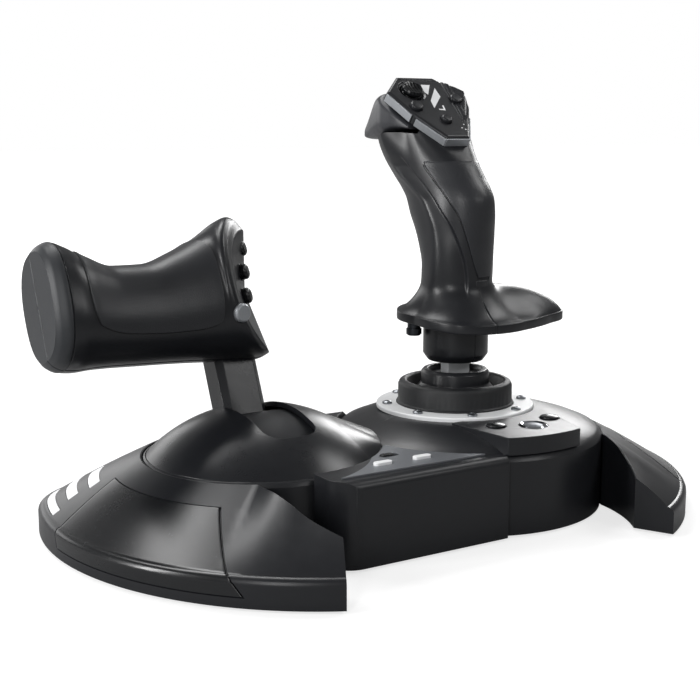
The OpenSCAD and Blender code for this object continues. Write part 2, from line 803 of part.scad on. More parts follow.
grip_a = [for (i = [0 : 12]) -90 + 15 * i];
function rest_r(a, right) = right
    ? lookup(a, [[-90, 33], [-60, 36], [-45, 40], [-30, 47], [-15, 57.5], [0, 48], [15, 41], [45, 33], [90, 29]])
    : lookup(a, [[-90, 33], [-60, 32], [-30, 27.5], [0, 25], [30, 29], [60, 29.5], [90, 29]]);
function rest_low(y) = rest_z + 0.07 * (y + 33);
col_yc = [[column_z, 0], [116, -0.5], [124, 0.5], [131, 2], [140, 4.5], [147, 6.5], [152, 10], [157, 15], [neck_z, 20.7]];
col_a = [[column_z, 17], [116, 17], [131, 17.2], [140, 17.8], [152, 18], [neck_z, 18.5]];
col_b = [[column_z, 18], [116, 18.2], [124, 20], [131, 22], [140, 25], [147, 26.5], [152, 27.5], [neck_z, 29]];
function column_point(a, z, d = 0) =
    [(lookup(z, col_a) - d) * cos(a), lookup(z, col_yc) + (lookup(z, col_b) - d) * sin(a), z];
function head_to_grip(p) = [p[0], -0.5 + p[1] * cos(head_tilt) - p[2] * sin(head_tilt),
                            head_z + p[1] * sin(head_tilt) + p[2] * cos(head_tilt)];
head_u = [[-90, 0], [-75, 7.2], [-30, 17.2], [15, 23.4], [60, 10.8], [90, 0]];
head_v = [[-90, 0], [-75, 0], [-30, 17.3], [15, 35.8], [60, 48.8], [90, 48.8]];
function head_rim(a, d, w) = let (u = lookup(a, head_u), v = lookup(a, head_v), c = [0, 27],
    k = 1 - d / norm([u, v] - c)) head_to_grip([u * k, c[1] + (v - c[1]) * k, w]);

function rest_top(a, f, right, d) =
    let (c = column_point(a, column_z), rr = rest_r(a, right), rim = [rr * cos(a), rr * sin(a)],
         p = mix([c[0], c[1]], rim, f), zt = rest_low(p[1]) + rest_t,
         convex = right ? ease(1 - abs(a + 5) / 55) : 0,
         h = mix(pow(1 - f, 1.8), 1 - pow(f, 3.2), convex),
         n = norm(p), q = p * (1 - d / n))
    [q[0], q[1], mix(zt, column_z, h) - d * ease(f * 1.6)];

// One ring of the grip for one half. d = 0 is the outside, d = wall the inside.
function grip_arc(k, d, right) = [for (a = grip_a)
    let (rr = rest_r(a, right), lowz = rest_low(rr * sin(a)), rin = d > 0 ? 2.6 : 0)
    k == 0 ? [each polar(a, collar_r - 2.4 - d), grip_z]
    : k == 1 ? [each polar(a, collar_r - d), grip_z + 3.4]
    : k == 2 ? [each polar(a, collar_r - d), rest_low(collar_r * sin(a)) + d]
    : k == 3 ? [each polar(a, mix(collar_r, rr, 0.55) - d), rest_low(mix(collar_r, rr, 0.55) * sin(a)) + d]
    : k == 4 ? [each polar(a, rr - 0.8 - rin), lowz + d * 0.8]
    : k == 5 ? [each polar(a, rr - rin), lowz + 0.8 + d * 0.4]
    : k == 6 ? [each polar(a, rr - rin), lowz + rest_t - 0.8 - d * 0.4]
    : k == 7 ? [each polar(a, rr - 0.8 - rin), lowz + rest_t - d * 0.8]
    : k <= 12 ? rest_top(a, [0.86, 0.66, 0.44, 0.22, 0.08][k - 8], right, d)
    : k <= 22 ? let (z = [column_z, 110, 116, 124, 131, 140, 147, 152, 157, neck_z][k - 13]) column_point(a, z, d)
    : let (t = [0.35, 0.7, 1][k - 23])
        mix(column_point(a, neck_z, d), head_rim(a, d, -bezel_h - 0.1), t) + neck_flare(a, t)];

// Swelling of the neck's front under the trigger
function neck_flare(a, t) = let (g = 4 * t * (1 - t) * neck_bulge * ease((sin(a) + 0.3) / 0.8))
    [g * cos(a), g * sin(a), 0];

module grip_half(right) {
    difference() {
        loft([for (k = [0 : 25])
            let (o = grip_arc(k, 0, right), i = grip_arc(k, grip_wall, right))
            concat(o, [for (j = [12 : -1 : 0]) i[j]])]);
        trigger_room();
    }
}

// Room in the head for the trigger
module trigger_room() {
    rotate([90, 0, 90]) linear_extrude(80, center = true)
        polygon([[12, 175.6], [12, 180.6], [45, 206.5], [80, 206.5], [80, 168], [62, 172.6], [46, 174.4], [18, 175.2]]);
}

module right_grip_shell() {
    color("#1d1e20")
    at_stick() grip_half(true);
}

module left_grip_shell() {
    color("#1d1e20")
    at_stick() mirror([1, 0, 0]) grip_half(false);
}

module twist_bushing() {
    color("#d9d9d4")
    at_stick() translate([0, 0, grip_z + 4]) difference() {
        union() {
            cylinder(r = 9, h = 24);
            translate([0, 0, 2]) cylinder(r = collar_r - grip_wall - 0.25, h = 3);
            translate([0, 0, 9]) cylinder(r = collar_r - grip_wall - 0.25, h = 3);
        }
        translate([0, 0, -e]) cylinder(r = 5 + run, h = 50);
    }
}

// Textured panel on the back of the column, a thin skin on the shells
module grip_inlay() {
    zs = [110, 116, 124, 131, 140, 147, 152, 157, neck_z];
    left_edge = [[110, -100], [124, -106], [140, -121], [152, -140], [neck_z, -164]];
    right_edge = [[110, -66], [124, -52], [140, -34], [152, -20], [neck_z, -4]];
    m = 10;
    color("#2c2d30")
    at_stick() loft([for (z = zs)
        concat([for (j = [0 : m]) column_point(mix(lookup(z, left_edge), lookup(z, right_edge), j / m), z, -1)],
               [for (j = [m : -1 : 0]) column_point(mix(lookup(z, left_edge), lookup(z, right_edge), j / m), z, -0.45)])]);
}

module at_head() {
    at_stick() translate([0, -0.5, head_z]) rotate([head_tilt, 0, 0]) children();
}

head_points = [[-7.2, 0], [7.2, 0], [17.2, 17.3], [23.4, 35.8], [10.8, 48.8], [-10.8, 48.8], [-23.4, 35.8], [-17.2, 17.3]];
function head_outline(d) = [for (p = head_points) let (c = [0, 27], w = p - c) c + w * (1 - d / norm(w))];
hat_at = [-8, 37];
hat_pivot = -2.6;
head_keys = [[-12.5, 24], [14.5, 30], [0, 14]];
head_key_r = [3.2, 3.2, 2.8];

module head_plate() {
    color("#26272a")
    at_head() difference() {
        union() {
            translate([0, 0, -bezel_h]) linear_extrude(bezel_h) polygon(head_outline(2.6));
            hull() {
                translate([0, 0, -0.5]) linear_extrude(e) polygon(head_outline(2.6));
                translate([0, 0, 1.6]) linear_extrude(e) polygon(head_outline(4.5));
            }
        }
        difference() {
            translate([0, 0, -bezel_h - e]) linear_extrude(bezel_h - 1.6) polygon(head_outline(5));
            translate([hat_at[0], hat_at[1], -bezel_h]) cylinder(r = hat_r + 3.4, h = bezel_h);
        }
        translate([hat_at[0], hat_at[1], -10]) cylinder(r = hat_r + 0.9, h = 20);
        translate([hat_at[0], hat_at[1], hat_pivot]) rotate([90, 0, 0])
            cylinder(r = 0.8 + run, h = 2 * hat_r + 5.4, center = true);
        for (i = [0 : 2]) translate([head_keys[i][0], head_keys[i][1], -10])
            cylinder(r = head_key_r[i] + side_gap, h = 20);
    }
}

// Silver band round the head's sides and rear
module head_bezel() {
    color("#8f9297")
    at_head() translate([0, 0, -bezel_h]) difference() {
        union() {
            linear_extrude(bezel_h) polygon(head_outline(0));
            linear_extrude(bezel_h + 2.2) intersection() {
                polygon(head_outline(0));
                polygon([[8.4, 60], [11.6, 44], [20, 34], [14.6, 15.5], [40, 15.5], [40, 60]]);
            }
        }
        translate([0, 0, -e]) linear_extrude(bezel_h + 10) polygon(head_outline(2.5));
    }
}

module hat_cap() {
    color("#2b2c2f")
    at_head() translate([hat_at[0], hat_at[1], 0]) {
        difference() {
            translate([0, 0, 0.8]) rotate_extrude()
                polygon([[0, 0], [hat_r - 0.4, 0], [hat_r, 0.6], [hat_r, 1.6], [hat_r - 0.7, 2.6], [hat_r - 2.4, 2.2], [0, 1.8]]);
            for (i = [-2 : 2]) translate([i * 1.7 - 0.25, -10, 2.4]) cube([0.5, 20, 3]);
        }
        translate([0, 0, hat_pivot]) cylinder(r = 1.5, h = 1 - hat_pivot);
        translate([0, 0, hat_pivot]) rotate([0, 90, 0]) cylinder(r = 0.8, h = 6.6, center = true);
        translate([0, 0, hat_pivot]) sphere(r = 1.5);
    }
}

// Small frame that lets the hat tilt two ways
module hat_ring() {
    color("#77797d")
    at_head() translate([hat_at[0], hat_at[1], hat_pivot]) difference() {
        union() {
            cylinder(r = 3.8, h = 2.4, center = true);
            rotate([90, 0, 0]) cylinder(r = 0.8, h = 2 * hat_r + 4.6, center = true);
        }
        cylinder(r = 2.2, h = 4, center = true);
        rotate([0, 90, 0]) cylinder(r = 0.8 + run, h = 20, center = true);
    }
}

module head_key(i) {
    at_head() translate([head_keys[i][0], head_keys[i][1], -1.4]) pad(head_key_r[i], 4.4, 0.6);
}

module head_button_left() {
    color("#3a3c40") head_key(0);
}

module head_button_right() {
    color("#3a3c40") head_key(1);
}

module head_button_rear() {
    color("#3a3c40") head_key(2);
}

// Side shape of the trigger: y, half width, top and bottom
trigger_rows = [[14, 14.5, 179.8, 178], [18, 16.8, 182.8, 177.1], [22, 19, 186, 176.7], [28, 21.2, 190.6, 176.3],
                [34, 20.2, 193.6, 176], [40, 18.8, 193.4, 175.8], [46, 17.6, 191.4, 175.5], [53, 15.8, 188, 175.3],
                [62, 12.8, 182.8, 175.3], [68, 10.2, 179.8, 176], [71.5, 7.5, 178.6, 177]];
trigger_pivot = [30, 182];

function trigger_ring(t) = let (y = t[0], w = t[1], zt = t[2], zb = t[3], h = zt - zb, c = min(3, h * 0.4), d = min(2.6, h * 0.35))
    [[w * 0.55, y, zt], [w - c * 0.3, y, zt - c * 0.55], [w, y, zt - c * 1.2], [w * 0.97, y, zb + d], [w * 0.9, y, zb + d * 0.3], [w * 0.78, y, zb],
     [-w * 0.78, y, zb], [-w * 0.9, y, zb + d * 0.3], [-w * 0.97, y, zb + d], [-w, y, zt - c * 1.2], [-w + c * 0.3, y, zt - c * 0.55], [-w * 0.55, y, zt]];

module trigger() {
    color("#3c3e42")
    at_stick() difference() {
        solid_loft([for (t = trigger_rows) trigger_ring(t)]);
        translate([0, trigger_pivot[0], trigger_pivot[1]]) rotate([0, 90, 0])
            cylinder(r = 1.5 + run, h = 20 + 2 * side_gap, center = true);
        translate([-4.4, 10, 170]) cube([8.8, 24.4, 40]);
    }
}

// Pin and hanger that carry the trigger
module trigger_pin() {
    color("#a5a8ac")
    at_stick() {
        translate([0, trigger_pivot[0], trigger_pivot[1]]) rotate([0, 90, 0]) cylinder(r = 1.5, h = 20, center = true);
        intersection() {
            union() {
                translate([-4, trigger_pivot[0] - 14, trigger_pivot[1] - 3]) cube([8, 17, 6]);
                translate([-4, trigger_pivot[0] - 14, trigger_pivot[1] - 3]) cube([8, 5, 30]);
            }
            at_head_local() translate([-20, 0, -60]) cube([40, 60, 60 - bezel_h + 2.3]);
        }
    }
}

module at_head_local() {
    translate([0, -0.5, head_z]) rotate([head_tilt, 0, 0]) children();
}

module twist_lock_screw() {
    color("#2b2c2e")
    at_stick() translate([-19.5, 8, rest_low(8) - 6.9]) {
        cylinder(r = 3.2, h = 6.4);
        translate([0, 0, 0.6]) cylinder(r = 3.8, h = 3);
    }
}

// ---------- throttle lever ----------

// Children are drawn in the lever's own frame: origin at the pivot, Z along the arm
module at_lever() {
    translate([0, 0, pivot_z]) rotate([-lean, 0, 0]) children();
}

module throttle_axle() {
    color("#b4b7ba")
    translate([-throttle_x, 0, pivot_z]) rotate([0, 90, 0]) cylinder(r = axle_r, h = 44, center = true);
    color("#2f3134")
    for (s = [-1, 1]) translate([-throttle_x + s * 19, 0, 0]) difference() {
        union() {
            translate([-2.5, -8, inside_z]) cube([5, 16, pivot_z - inside_z]);
            translate([0, 0, pivot_z]) rotate([0, 90, 0]) cylinder(r = 7, h = 5, center = true);
        }
        translate([-5, -10, -5]) cube([10, 20, 5 + inside_z]);
    }
}

handle_base = 68;
module throttle_arm() {
    c = 3;
    w = arm_w / 2;
    d = arm_d / 2;
    color("#242528")
    at_lever() difference() {
        union() {
            translate([-throttle_x - arm_shift, 0, 6]) linear_extrude(handle_base)
                polygon([[-w, -d + c], [-w + c, -d], [w - c, -d], [w, -d + c], [w, d - c], [w - c, d], [-w + c, d], [-w, d - c]]);
            translate([-throttle_x, 0, 0]) rotate([0, 90, 0])
                cylinder(r = pivot_z - inside_z - 0.4, h = 30, center = true);
        }
        translate([-throttle_x, 0, 0]) rotate([0, 90, 0]) cylinder(r = axle_r + run, h = 50, center = true);
    }
}

// Curved shield that closes the slot from below
module slot_shield() {
    color("#2b2c2f")
    at_lever() translate([-throttle_x, 0, 0]) difference() {
        rotate([0, 90, 0]) difference() {
            cylinder(r = shield_r, h = slot_w + 5, center = true, $fn = 96);
            cylinder(r = shield_r - 2, h = slot_w + 10, center = true, $fn = 96);
            linear_extrude(60, center = true)
                polygon([[0, 0], [-100 * cos(62), 100 * sin(62)], [120, 120], [120, -120], [-100 * cos(62), -100 * sin(62)]]);
        }
        translate([-arm_shift - arm_w / 2 - 0.1, -arm_d / 2 - 0.1, 0]) cube([arm_w + 0.2, arm_d + 0.2, 100]);
    }
}

// Handle sections along X: x, centre y, centre z, half depth, half height
handle_yc = -11;
thumb_slant = 21;
handle_rows = [
    [-handle_left, -11, 99.5, 20.5, 24], [-handle_left + 2.2, -11, 99.3, 23, 26.6], [-handle_left + 6, -11, 99, 24.6, 28.2],
    [-handle_left + 11, -11, 97.6, 24.6, 27.4], [-handle_left + 20, -11, 95, 23, 24.4], [-handle_left + 32, -11, 92.3, 22, 21.8],
    [-handle_left + 46, -11, 92, 22, 22], [-handle_left + 62, -11, 94.2, 23, 24.8], [-handle_left + 76, -11, 97.3, 25, 28.7],
    [-handle_left + 88, -11, 100.2, 26.4, 32.4], [-handle_left + 97, -11, 101.2, 26.8, 33.8], [-handle_right - 4, -11, 100.6, 26, 33],
    [-handle_right, -11, 99, 22.6, 30]];
handle_a = [for (i = [0 : 14]) 90 + i * 180 / 14];
function handle_section(x) = [for (k = [1 : 4]) lookup(x, [for (r = handle_rows) [r[0], r[k]]])];
// Point on the handle: a = 90 is the top, 180 the user's side, 270 the bottom
function handle_point(x, a, d = 0) =
    let (s = handle_section(x), p = 2 / 2.35, ca = cos(a), sa = sin(a),
         slant = thumb_slant * ease((x + handle_right + 34) / 34) * pow(max(0, -ca), 1.2))
    [x - slant, s[0] + (s[2] - d) * sign(ca) * pow(abs(ca), p), s[1] + (s[3] - d) * sign(sa) * pow(abs(sa), p)];

// Half section of the handle. d is the wall taken off, over how far it passes the split
function handle_ring(x, front, d, over) =
    let (o = [for (i = [0 : 14]) let (a = front ? 180 - handle_a[i] : handle_a[i], p = handle_point(x, a, d))
        [p[0], front ? max(p[1], handle_yc + 0.03) : min(p[1], handle_yc - 0.03), p[2]]],
         flat = front ? -over : over)
    concat([[o[0][0], o[0][1] + flat, o[0][2]]], [for (i = [1 : 13]) o[i]], [[o[14][0], o[14][1] + flat, o[14][2]]]);

module handle_half(front) {
    ends = [-handle_left, -handle_right];
    inner_rows = concat([-handle_left + handle_wall], [for (i = [2 : len(handle_rows) - 3]) handle_rows[i][0]],
                        [-handle_right - 2.4 - handle_wall]);
    function turned(r) = front ? [for (i = [len(r) - 1 : -1 : 0]) r[i]] : r;
    difference() {
        solid_loft([for (r = handle_rows) turned(handle_ring(r[0], front, 0, 0))]);
        solid_loft([for (x = inner_rows) turned(handle_ring(x, front, handle_wall, 0.6))]);
    }
}

module rear_handle_shell() {
    color("#1e1f21")
    at_lever() difference() {
        handle_half(false);
        arm_room();
        for (i = [0 : 2]) at_thumb(i) translate([0, 0, -8]) cylinder(r = thumb_r + side_gap, h = 16);
        at_lower() translate([0, 0, -8]) cylinder(r = lower_r + side_gap, h = 16);
    }
}

module front_handle_shell() {
    color("#1e1f21")
    at_lever() difference() {
        handle_half(true);
        arm_room();
        for (i = [0 : 2]) at_thumb(i) translate([0, 0, -8]) cylinder(r = thumb_r + side_gap, h = 16);
        finger_hole();
        rocker_hole();
    }
}

module arm_room() {
    translate([-throttle_x - arm_shift - arm_w / 2 - 0.1, -arm_d / 2 - 0.1, 50]) cube([arm_w + 0.2, arm_d + 0.2, handle_base - 50 + 7]);
}

thumb_at = [[-54.5, -16, 119.5], [-57, -18.6, 107.3], [-59.5, -21.2, 95]];
thumb_r = 3.7;
// Children stand on the handle's slanted thumb face, Z outward
module at_thumb(i) {
    translate(thumb_at[i]) rotate([0, 90, -43]) children();
}

module thumb_key(i) {
    at_lever() at_thumb(i) translate([0, 0, -5]) pad(thumb_r, 6.2, 1);
}

module thumb_button_upper() {
    color("#17181a") thumb_key(0);
}

module thumb_button_middle() {
    color("#17181a") thumb_key(1);
}

module thumb_button_third() {
    color("#17181a") thumb_key(2);
}

lower_at = [-71.4, -34.2, 83.4];
lower_r = 4.3;
module at_lower() {
    translate(lower_at) rotate([109, 0, 15]) children();
}

module thumb_button_lower() {
    color("#8f9297")
    at_lever() at_lower() translate([0, 0, -5]) pad(lower_r, 6.6, 0.8);
}

finger_at = [-92, 12, 100];
module finger_hole() {
    translate([finger_at[0], 5, finger_at[2]]) rotate([-90, 0, 0]) cylinder(r = 6 + side_gap, h = 40);
}

module finger_button() {
    color("#17181a")
    at_lever() translate([finger_at[0], 7, finger_at[2]]) rotate([-90, 0, 0]) pad(6, 8.6, 1);
}

rocker_at = [-122, 8, 97];
module rocker_hole() {
    translate([rocker_at[0] - 17.4, 5, rocker_at[2] - 5.4]) cube([34.8, 40, 10.8]);
}

module rocker() {
    color("#2a2b2e")
    at_lever() translate(rocker_at) difference() {
        rotate([0, 0, 0]) union() {
            translate([-17, 0, -5]) cube([34, 6, 10]);
            translate([-17, 5, -5]) cube([8, 3, 10]);
            translate([9, 5, -5]) cube([8, 3, 10]);
            cylinder(r = 1.6, h = 9.6, center = true);
        }
    }
}

// Soft palm panel on the handle's back and top
module palm_panel() {
    m = 12;
    xs = [for (i = [0 : 12]) i / 12];
    color("#313235")
    at_lever() loft([for (t = xs)
        let (a0 = 82, a1 = 210 + 8 * t)
        concat([for (j = [0 : m]) let (s = j / m, x = mix(-141 - 5 * s, -83 + 4 * sin(180 * s), t)) handle_point(x, mix(a0, a1, s), -0.9)],
               [for (j = [m : -1 : 0]) let (s = j / m, x = mix(-141 - 5 * s, -83 + 4 * sin(180 * s), t)) handle_point(x, mix(a0, a1, s), -0.35)])]);
}

stick_housing();
base_plate();
throttle_housing();
front_bridge();
rear_bridge();
throttle_dome();
left_wing();
right_wing();
left_wing_panel();
right_wing_panel();
wing_stripe_inlays();
bridge_trim();
preset_button();
mapping_button();
mode_switch();
home_panel();
share_button();
home_button();
home_ring();
menu_button();
retaining_ring();
ring_screws();
rubber_boot();
gimbal_frame();
gimbal_yoke();
pitch_pin();
return_spring();
stick_shaft();
shaft_cuff();
main_board();
weight_plate();
rubber_feet();
base_screws();
cable_gland();
twist_bushing();
left_grip_shell();
right_grip_shell();
grip_inlay();
head_plate();
head_bezel();
hat_ring();
hat_cap();
head_button_left();
head_button_right();
head_button_rear();
trigger();
trigger_pin();
twist_lock_screw();
throttle_axle();
throttle_arm();
slot_shield();
front_handle_shell();
rear_handle_shell();
palm_panel();
thumb_button_upper();
thumb_button_middle();
thumb_button_third();
thumb_button_lower();
finger_button();
rocker();
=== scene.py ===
# %% [markdown]
# # A flight joystick, dressed over its engineering model
# The real object is a stick and a throttle on one moulded base, nearly all of it black
# plastic. The engineering model already has every part and joint in place. This lesson puts
# finer surfaces over the parts that the eye rests on, and gives every part its own finish.

import bmesh
import bpy
import numpy as np
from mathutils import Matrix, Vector


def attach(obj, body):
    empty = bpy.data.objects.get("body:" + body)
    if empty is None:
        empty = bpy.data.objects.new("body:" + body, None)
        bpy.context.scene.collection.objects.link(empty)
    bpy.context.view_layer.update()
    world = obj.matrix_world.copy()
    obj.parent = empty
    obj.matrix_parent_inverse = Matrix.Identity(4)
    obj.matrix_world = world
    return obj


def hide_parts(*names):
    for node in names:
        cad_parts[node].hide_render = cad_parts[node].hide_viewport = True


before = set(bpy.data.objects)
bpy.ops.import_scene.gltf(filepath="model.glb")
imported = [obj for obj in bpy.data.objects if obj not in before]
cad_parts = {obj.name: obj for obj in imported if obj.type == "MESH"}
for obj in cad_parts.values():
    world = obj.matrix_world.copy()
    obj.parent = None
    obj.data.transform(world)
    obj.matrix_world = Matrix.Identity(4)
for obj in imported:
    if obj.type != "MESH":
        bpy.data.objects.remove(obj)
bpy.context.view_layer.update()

# %% [markdown]
# ## Surfaces from grids of points
# A moulded surface could be pushed into shape by hand with sculpting, or built from curves.
# Here each shape is a formula on a grid of two parameters. The grid is one array, so the
# whole surface is worked out at once, and a change of one size moves everything with it.

# %% Grid helpers
MM = 0.001
SKIN_CREASE = 40


def grid_faces(rows, cols, wrap_rows=False, wrap_cols=False):
    """Quads between neighbours on a grid: point (r, c) is number r * cols + c."""
    r = np.arange(rows if wrap_rows else rows - 1)
    c = np.arange(cols if wrap_cols else cols - 1)
    r, c = np.meshgrid(r, c, indexing="ij")
    r2, c2 = (r + 1) % rows, (c + 1) % cols
    corners = [r * cols + c, r * cols + c2, r2 * cols + c2, r2 * cols + c]
    return np.stack(corners, -1).reshape(-1, 4)


def smooth(mesh, crease):
    """Shade smooth, but keep an edge crisp where its faces turn by more than crease degrees."""
    mesh.shade_smooth()
    mesh.set_sharp_from_angle(angle=np.radians(crease))


def new_piece(name, points, faces, crease=35, tidy=True):
    """A mesh object from points in millimetres; tidy merges doubles and turns faces outwards."""
    mesh = bpy.data.meshes.new(name)
    mesh.from_pydata((np.asarray(points, float).reshape(-1, 3) * MM).tolist(), [], faces)
    if tidy:
        work = bmesh.new()
        work.from_mesh(mesh)
        bmesh.ops.remove_doubles(work, verts=work.verts, dist=1e-6)
        bmesh.ops.recalc_face_normals(work, faces=work.faces)
        work.to_mesh(mesh)
        work.free()
    smooth(mesh, crease)
    piece = bpy.data.objects.new(name, mesh)
    bpy.context.scene.collection.objects.link(piece)
    return piece


def tube(name, rings, crease=35, wrap=False):
    """Skin over closed rings, an array of rows x points x 3, with flat ends or joined in a loop."""
    m, n = rings.shape[:2]
    faces = grid_faces(m, n, wrap_rows=wrap, wrap_cols=True).tolist()
    if not wrap:
        faces += [list(range(n)), list(range((m - 1) * n, m * n))]
    return new_piece(name, rings, faces, crease)


def slab(name, top, bottom, crease=35):
    """Closed sheet between two grids of the same size, joined along all four borders."""
    m, n = top.shape[:2]
    k = m * n
    index = np.arange(k).reshape(m, n)
    rim = np.concatenate([index[0, :-1], index[:-1, -1], index[-1, :0:-1], index[:0:-1, 0]])
    after = np.roll(rim, -1)
    faces = grid_faces(m, n)
    sides = np.stack([rim, after, after + k, rim + k], -1)
    faces = np.concatenate([faces, faces[:, ::-1] + k, sides]).tolist()
    return new_piece(name, np.concatenate([top, bottom]), faces, crease)


def ease(t):
    """Smooth step from 0 to 1."""
    s = np.clip(t, 0, 1)
    return s * s * (3 - 2 * s)


def mix(a, b, t):
    """Straight blend from a, where t is 0, to b, where t is 1."""
    return a * (1 - t) + b * t


def ringed(a, r, z):
    """Point at the angle a, in degrees, and the radius r round the z axis, at the height z."""
    a = np.radians(a)
    return np.stack(np.broadcast_arrays(r * np.cos(a), r * np.sin(a), z), -1)


def through(x, table):
    """Smooth curve through (x, value) pairs that never overshoots them: cubic pieces whose slope
    at a knot is the harmonic mean of its neighbours' slopes, or 0 at a peak."""
    k, v = np.asarray(table, float).T
    step, rise = np.diff(k), np.diff(v) / np.diff(k)
    same = rise[:-1] * rise[1:] > 0
    safe = np.where(same, rise[:-1] + rise[1:], 1)
    inner = np.where(same, 2 * rise[:-1] * rise[1:] / safe, 0)
    slope = np.concatenate([rise[:1], inner, rise[-1:]])
    x = np.clip(x, k[0], k[-1])
    i = np.clip(np.searchsorted(k, x, side="right") - 1, 0, len(k) - 2)
    t = (x - k[i]) / step[i]
    return (v[i] * (1 + 2 * t) * (1 - t) ** 2 + v[i + 1] * t ** 2 * (3 - 2 * t)
            + slope[i] * step[i] * t * (1 - t) ** 2 - slope[i + 1] * step[i] * t ** 2 * (1 - t))


def knots(stops, counts):
    """Values that run through the stops, with the given number of steps between each pair."""
    parts = [np.linspace(a, b, n, endpoint=False)
             for a, b, n in zip(stops[:-1], stops[1:], counts)]
    return np.concatenate(parts + [np.asarray(stops[-1:], float)])


print("grid helpers ready")

# %% [markdown]
# ## Putting an exact part in fine clothes
# Turned and extruded parts are already exact in the engineering model, but it stores them as
# loose triangles with knife-sharp edges. A real moulded edge has a small radius that catches
# the light. So a copy is merged, shaded smooth where the surface is round, and bevelled.

# %% Dressed copies
COPY_CREASE = 32


def rounded(piece, width):
    """Rounds the sharp edges of a piece, width millimetres wide."""
    edge = piece.modifiers.new("edge", "BEVEL")
    edge.width = width * MM
    edge.segments = 2
    edge.limit_method = "ANGLE"
    edge.angle_limit = np.radians(COPY_CREASE)
    edge.harden_normals = True


def dressed(node, bevel):
    """Copy of a part with merged points and small round edges, bevel millimetres wide."""
    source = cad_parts[node]
    mesh = source.data.copy()
    mesh.name = node + "_fine"
    work = bmesh.new()
    work.from_mesh(mesh)
    bmesh.ops.remove_doubles(work, verts=work.verts, dist=2e-6)
    bmesh.ops.dissolve_limit(work, angle_limit=np.radians(1.5), verts=work.verts,
                             edges=work.edges)
    work.to_mesh(mesh)
    work.free()
    mesh.materials.clear()
    smooth(mesh, COPY_CREASE)
    piece = bpy.data.objects.new(node + "_fine", mesh)
    bpy.context.scene.collection.objects.link(piece)
    if bevel:
        rounded(piece, bevel)
    return piece


def joined(name, pieces):
    """Several pieces as one object."""
    with bpy.context.temp_override(active_object=pieces[0], selected_editable_objects=pieces):
        bpy.ops.object.join()
    pieces[0].name = name
    return pieces[0]


def wear(piece, material, body, *nodes, slot):
    """Gives a piece its finish and its body, and names the parts that it stands for."""
    piece.data.materials.clear()
    piece.data.materials.append(material)
    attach(piece, body)
    if nodes:
        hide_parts(*nodes)
    print(piece.name, "stands for", ", ".join(nodes) or "nothing", "with",
          len(piece.data.vertices), "points")


def dress(node, bevel, material, body, slot):
    """Shows an exact part with round edges, and gives it its finish and its body. The slot is
    passed on but not used.
    """
    wear(dressed(node, bevel), material, body, node, slot=slot)


# %% [markdown]
# ## Finishes as expressions
# A shader can be wired by hand, one node at a time. Writing its maths as Python is shorter and
# easier to read: a small class wraps a socket, and each operator adds the matching node.

# %% Shader maths


class Value:
    """A socket that takes part in arithmetic: a + b adds a Math node with both as inputs."""

    def __init__(self, paint, socket):
        self.paint, self.socket = paint, socket

    def maths(self, how, *inputs):
        return self.paint.node("ShaderNodeMath", {"operation": how}, dict(enumerate(inputs)))

    def __add__(self, other):
        return self.maths("ADD", self, other)

    def __sub__(self, other):
        return self.maths("SUBTRACT", self, other)

    def __mul__(self, other):
        return self.maths("MULTIPLY", self, other)

    __radd__ = __add__

    def between(self, low, high):
        """0 below low, 1 above high, and smooth in between."""
        return self.paint.node("ShaderNodeMapRange", {"interpolation_type": "SMOOTHSTEP"},
                               {"Value": self, "From Min": low, "From Max": high})


class Paint:
    """A material under construction, with one method that adds any node."""

    def __init__(self, name, **constants):
        self.material = bpy.data.materials.new(name)
        self.material.use_nodes = True
        self.tree = self.material.node_tree
        self.shader = self.tree.nodes["Principled BSDF"]
        for socket, value in constants.items():
            self.shader.inputs[socket.replace("_", " ")].default_value = value
        self.place = self.node("ShaderNodeTexCoord", out="Object")

    def node(self, kind, settings=None, values=None, out=0):
        made = self.tree.nodes.new(kind)
        for key, value in (settings or {}).items():
            setattr(made, key, value)
        for key, value in (values or {}).items():
            if isinstance(value, Value):
                self.tree.links.new(value.socket, made.inputs[key])
            else:
                made.inputs[key].default_value = value
        return Value(self, made.outputs[out])

    def noise(self, size, detail=2.0, rough=0.5, stretch=None):
        """Cloudy pattern whose features are about size millimetres across."""
        place = self.place
        if stretch:
            place = self.node("ShaderNodeMapping", {}, {"Vector": place, "Scale": stretch})
        values = {"Vector": place, "Scale": 1000 / size, "Detail": detail, "Roughness": rough}
        return self.node("ShaderNodeTexNoise", {"normalize": True}, values)

    def colours(self, factor, low, high):
        """Colour that goes from low to high with the factor."""
        ends = {0: factor, 6: low, 7: high}
        return self.node("ShaderNodeMix", {"data_type": "RGBA"}, ends, out=2)

    def relief(self, height, depth):
        """Bump of the height pattern, depth millimetres deep."""
        values = {"Height": height, "Distance": depth * MM, "Strength": 1.0}
        return self.node("ShaderNodeBump", {}, values)

    def wire(self, **links):
        """Links patterns to the shader's inputs, and hands over the finished material."""
        for socket, value in links.items():
            self.tree.links.new(value.socket, self.shader.inputs[socket.replace("_", " ")])
        return self.material


def shade(code, gain=1.0):
    """Linear colour from a #rrggbb code, made lighter or darker by gain."""
    c = np.array([int(code[i:i + 2], 16) for i in (1, 3, 5)]) / 255
    c = np.where(c <= 0.04045, c / 12.92, ((c + 0.055) / 1.055) ** 2.4) * gain
    return (*c.tolist(), 1.0)


print("shader maths ready")

# %% [markdown]
# ## Black plastics
# Injection-moulded plastic is never one flat colour. Its tool leaves a fine spark-eroded grain,
# the gloss drifts a little where the melt cooled faster, and handling leaves faint dull
# patches. Three noises of different size give that: grain to the relief, drift to the gloss.

# %% Moulded plastics


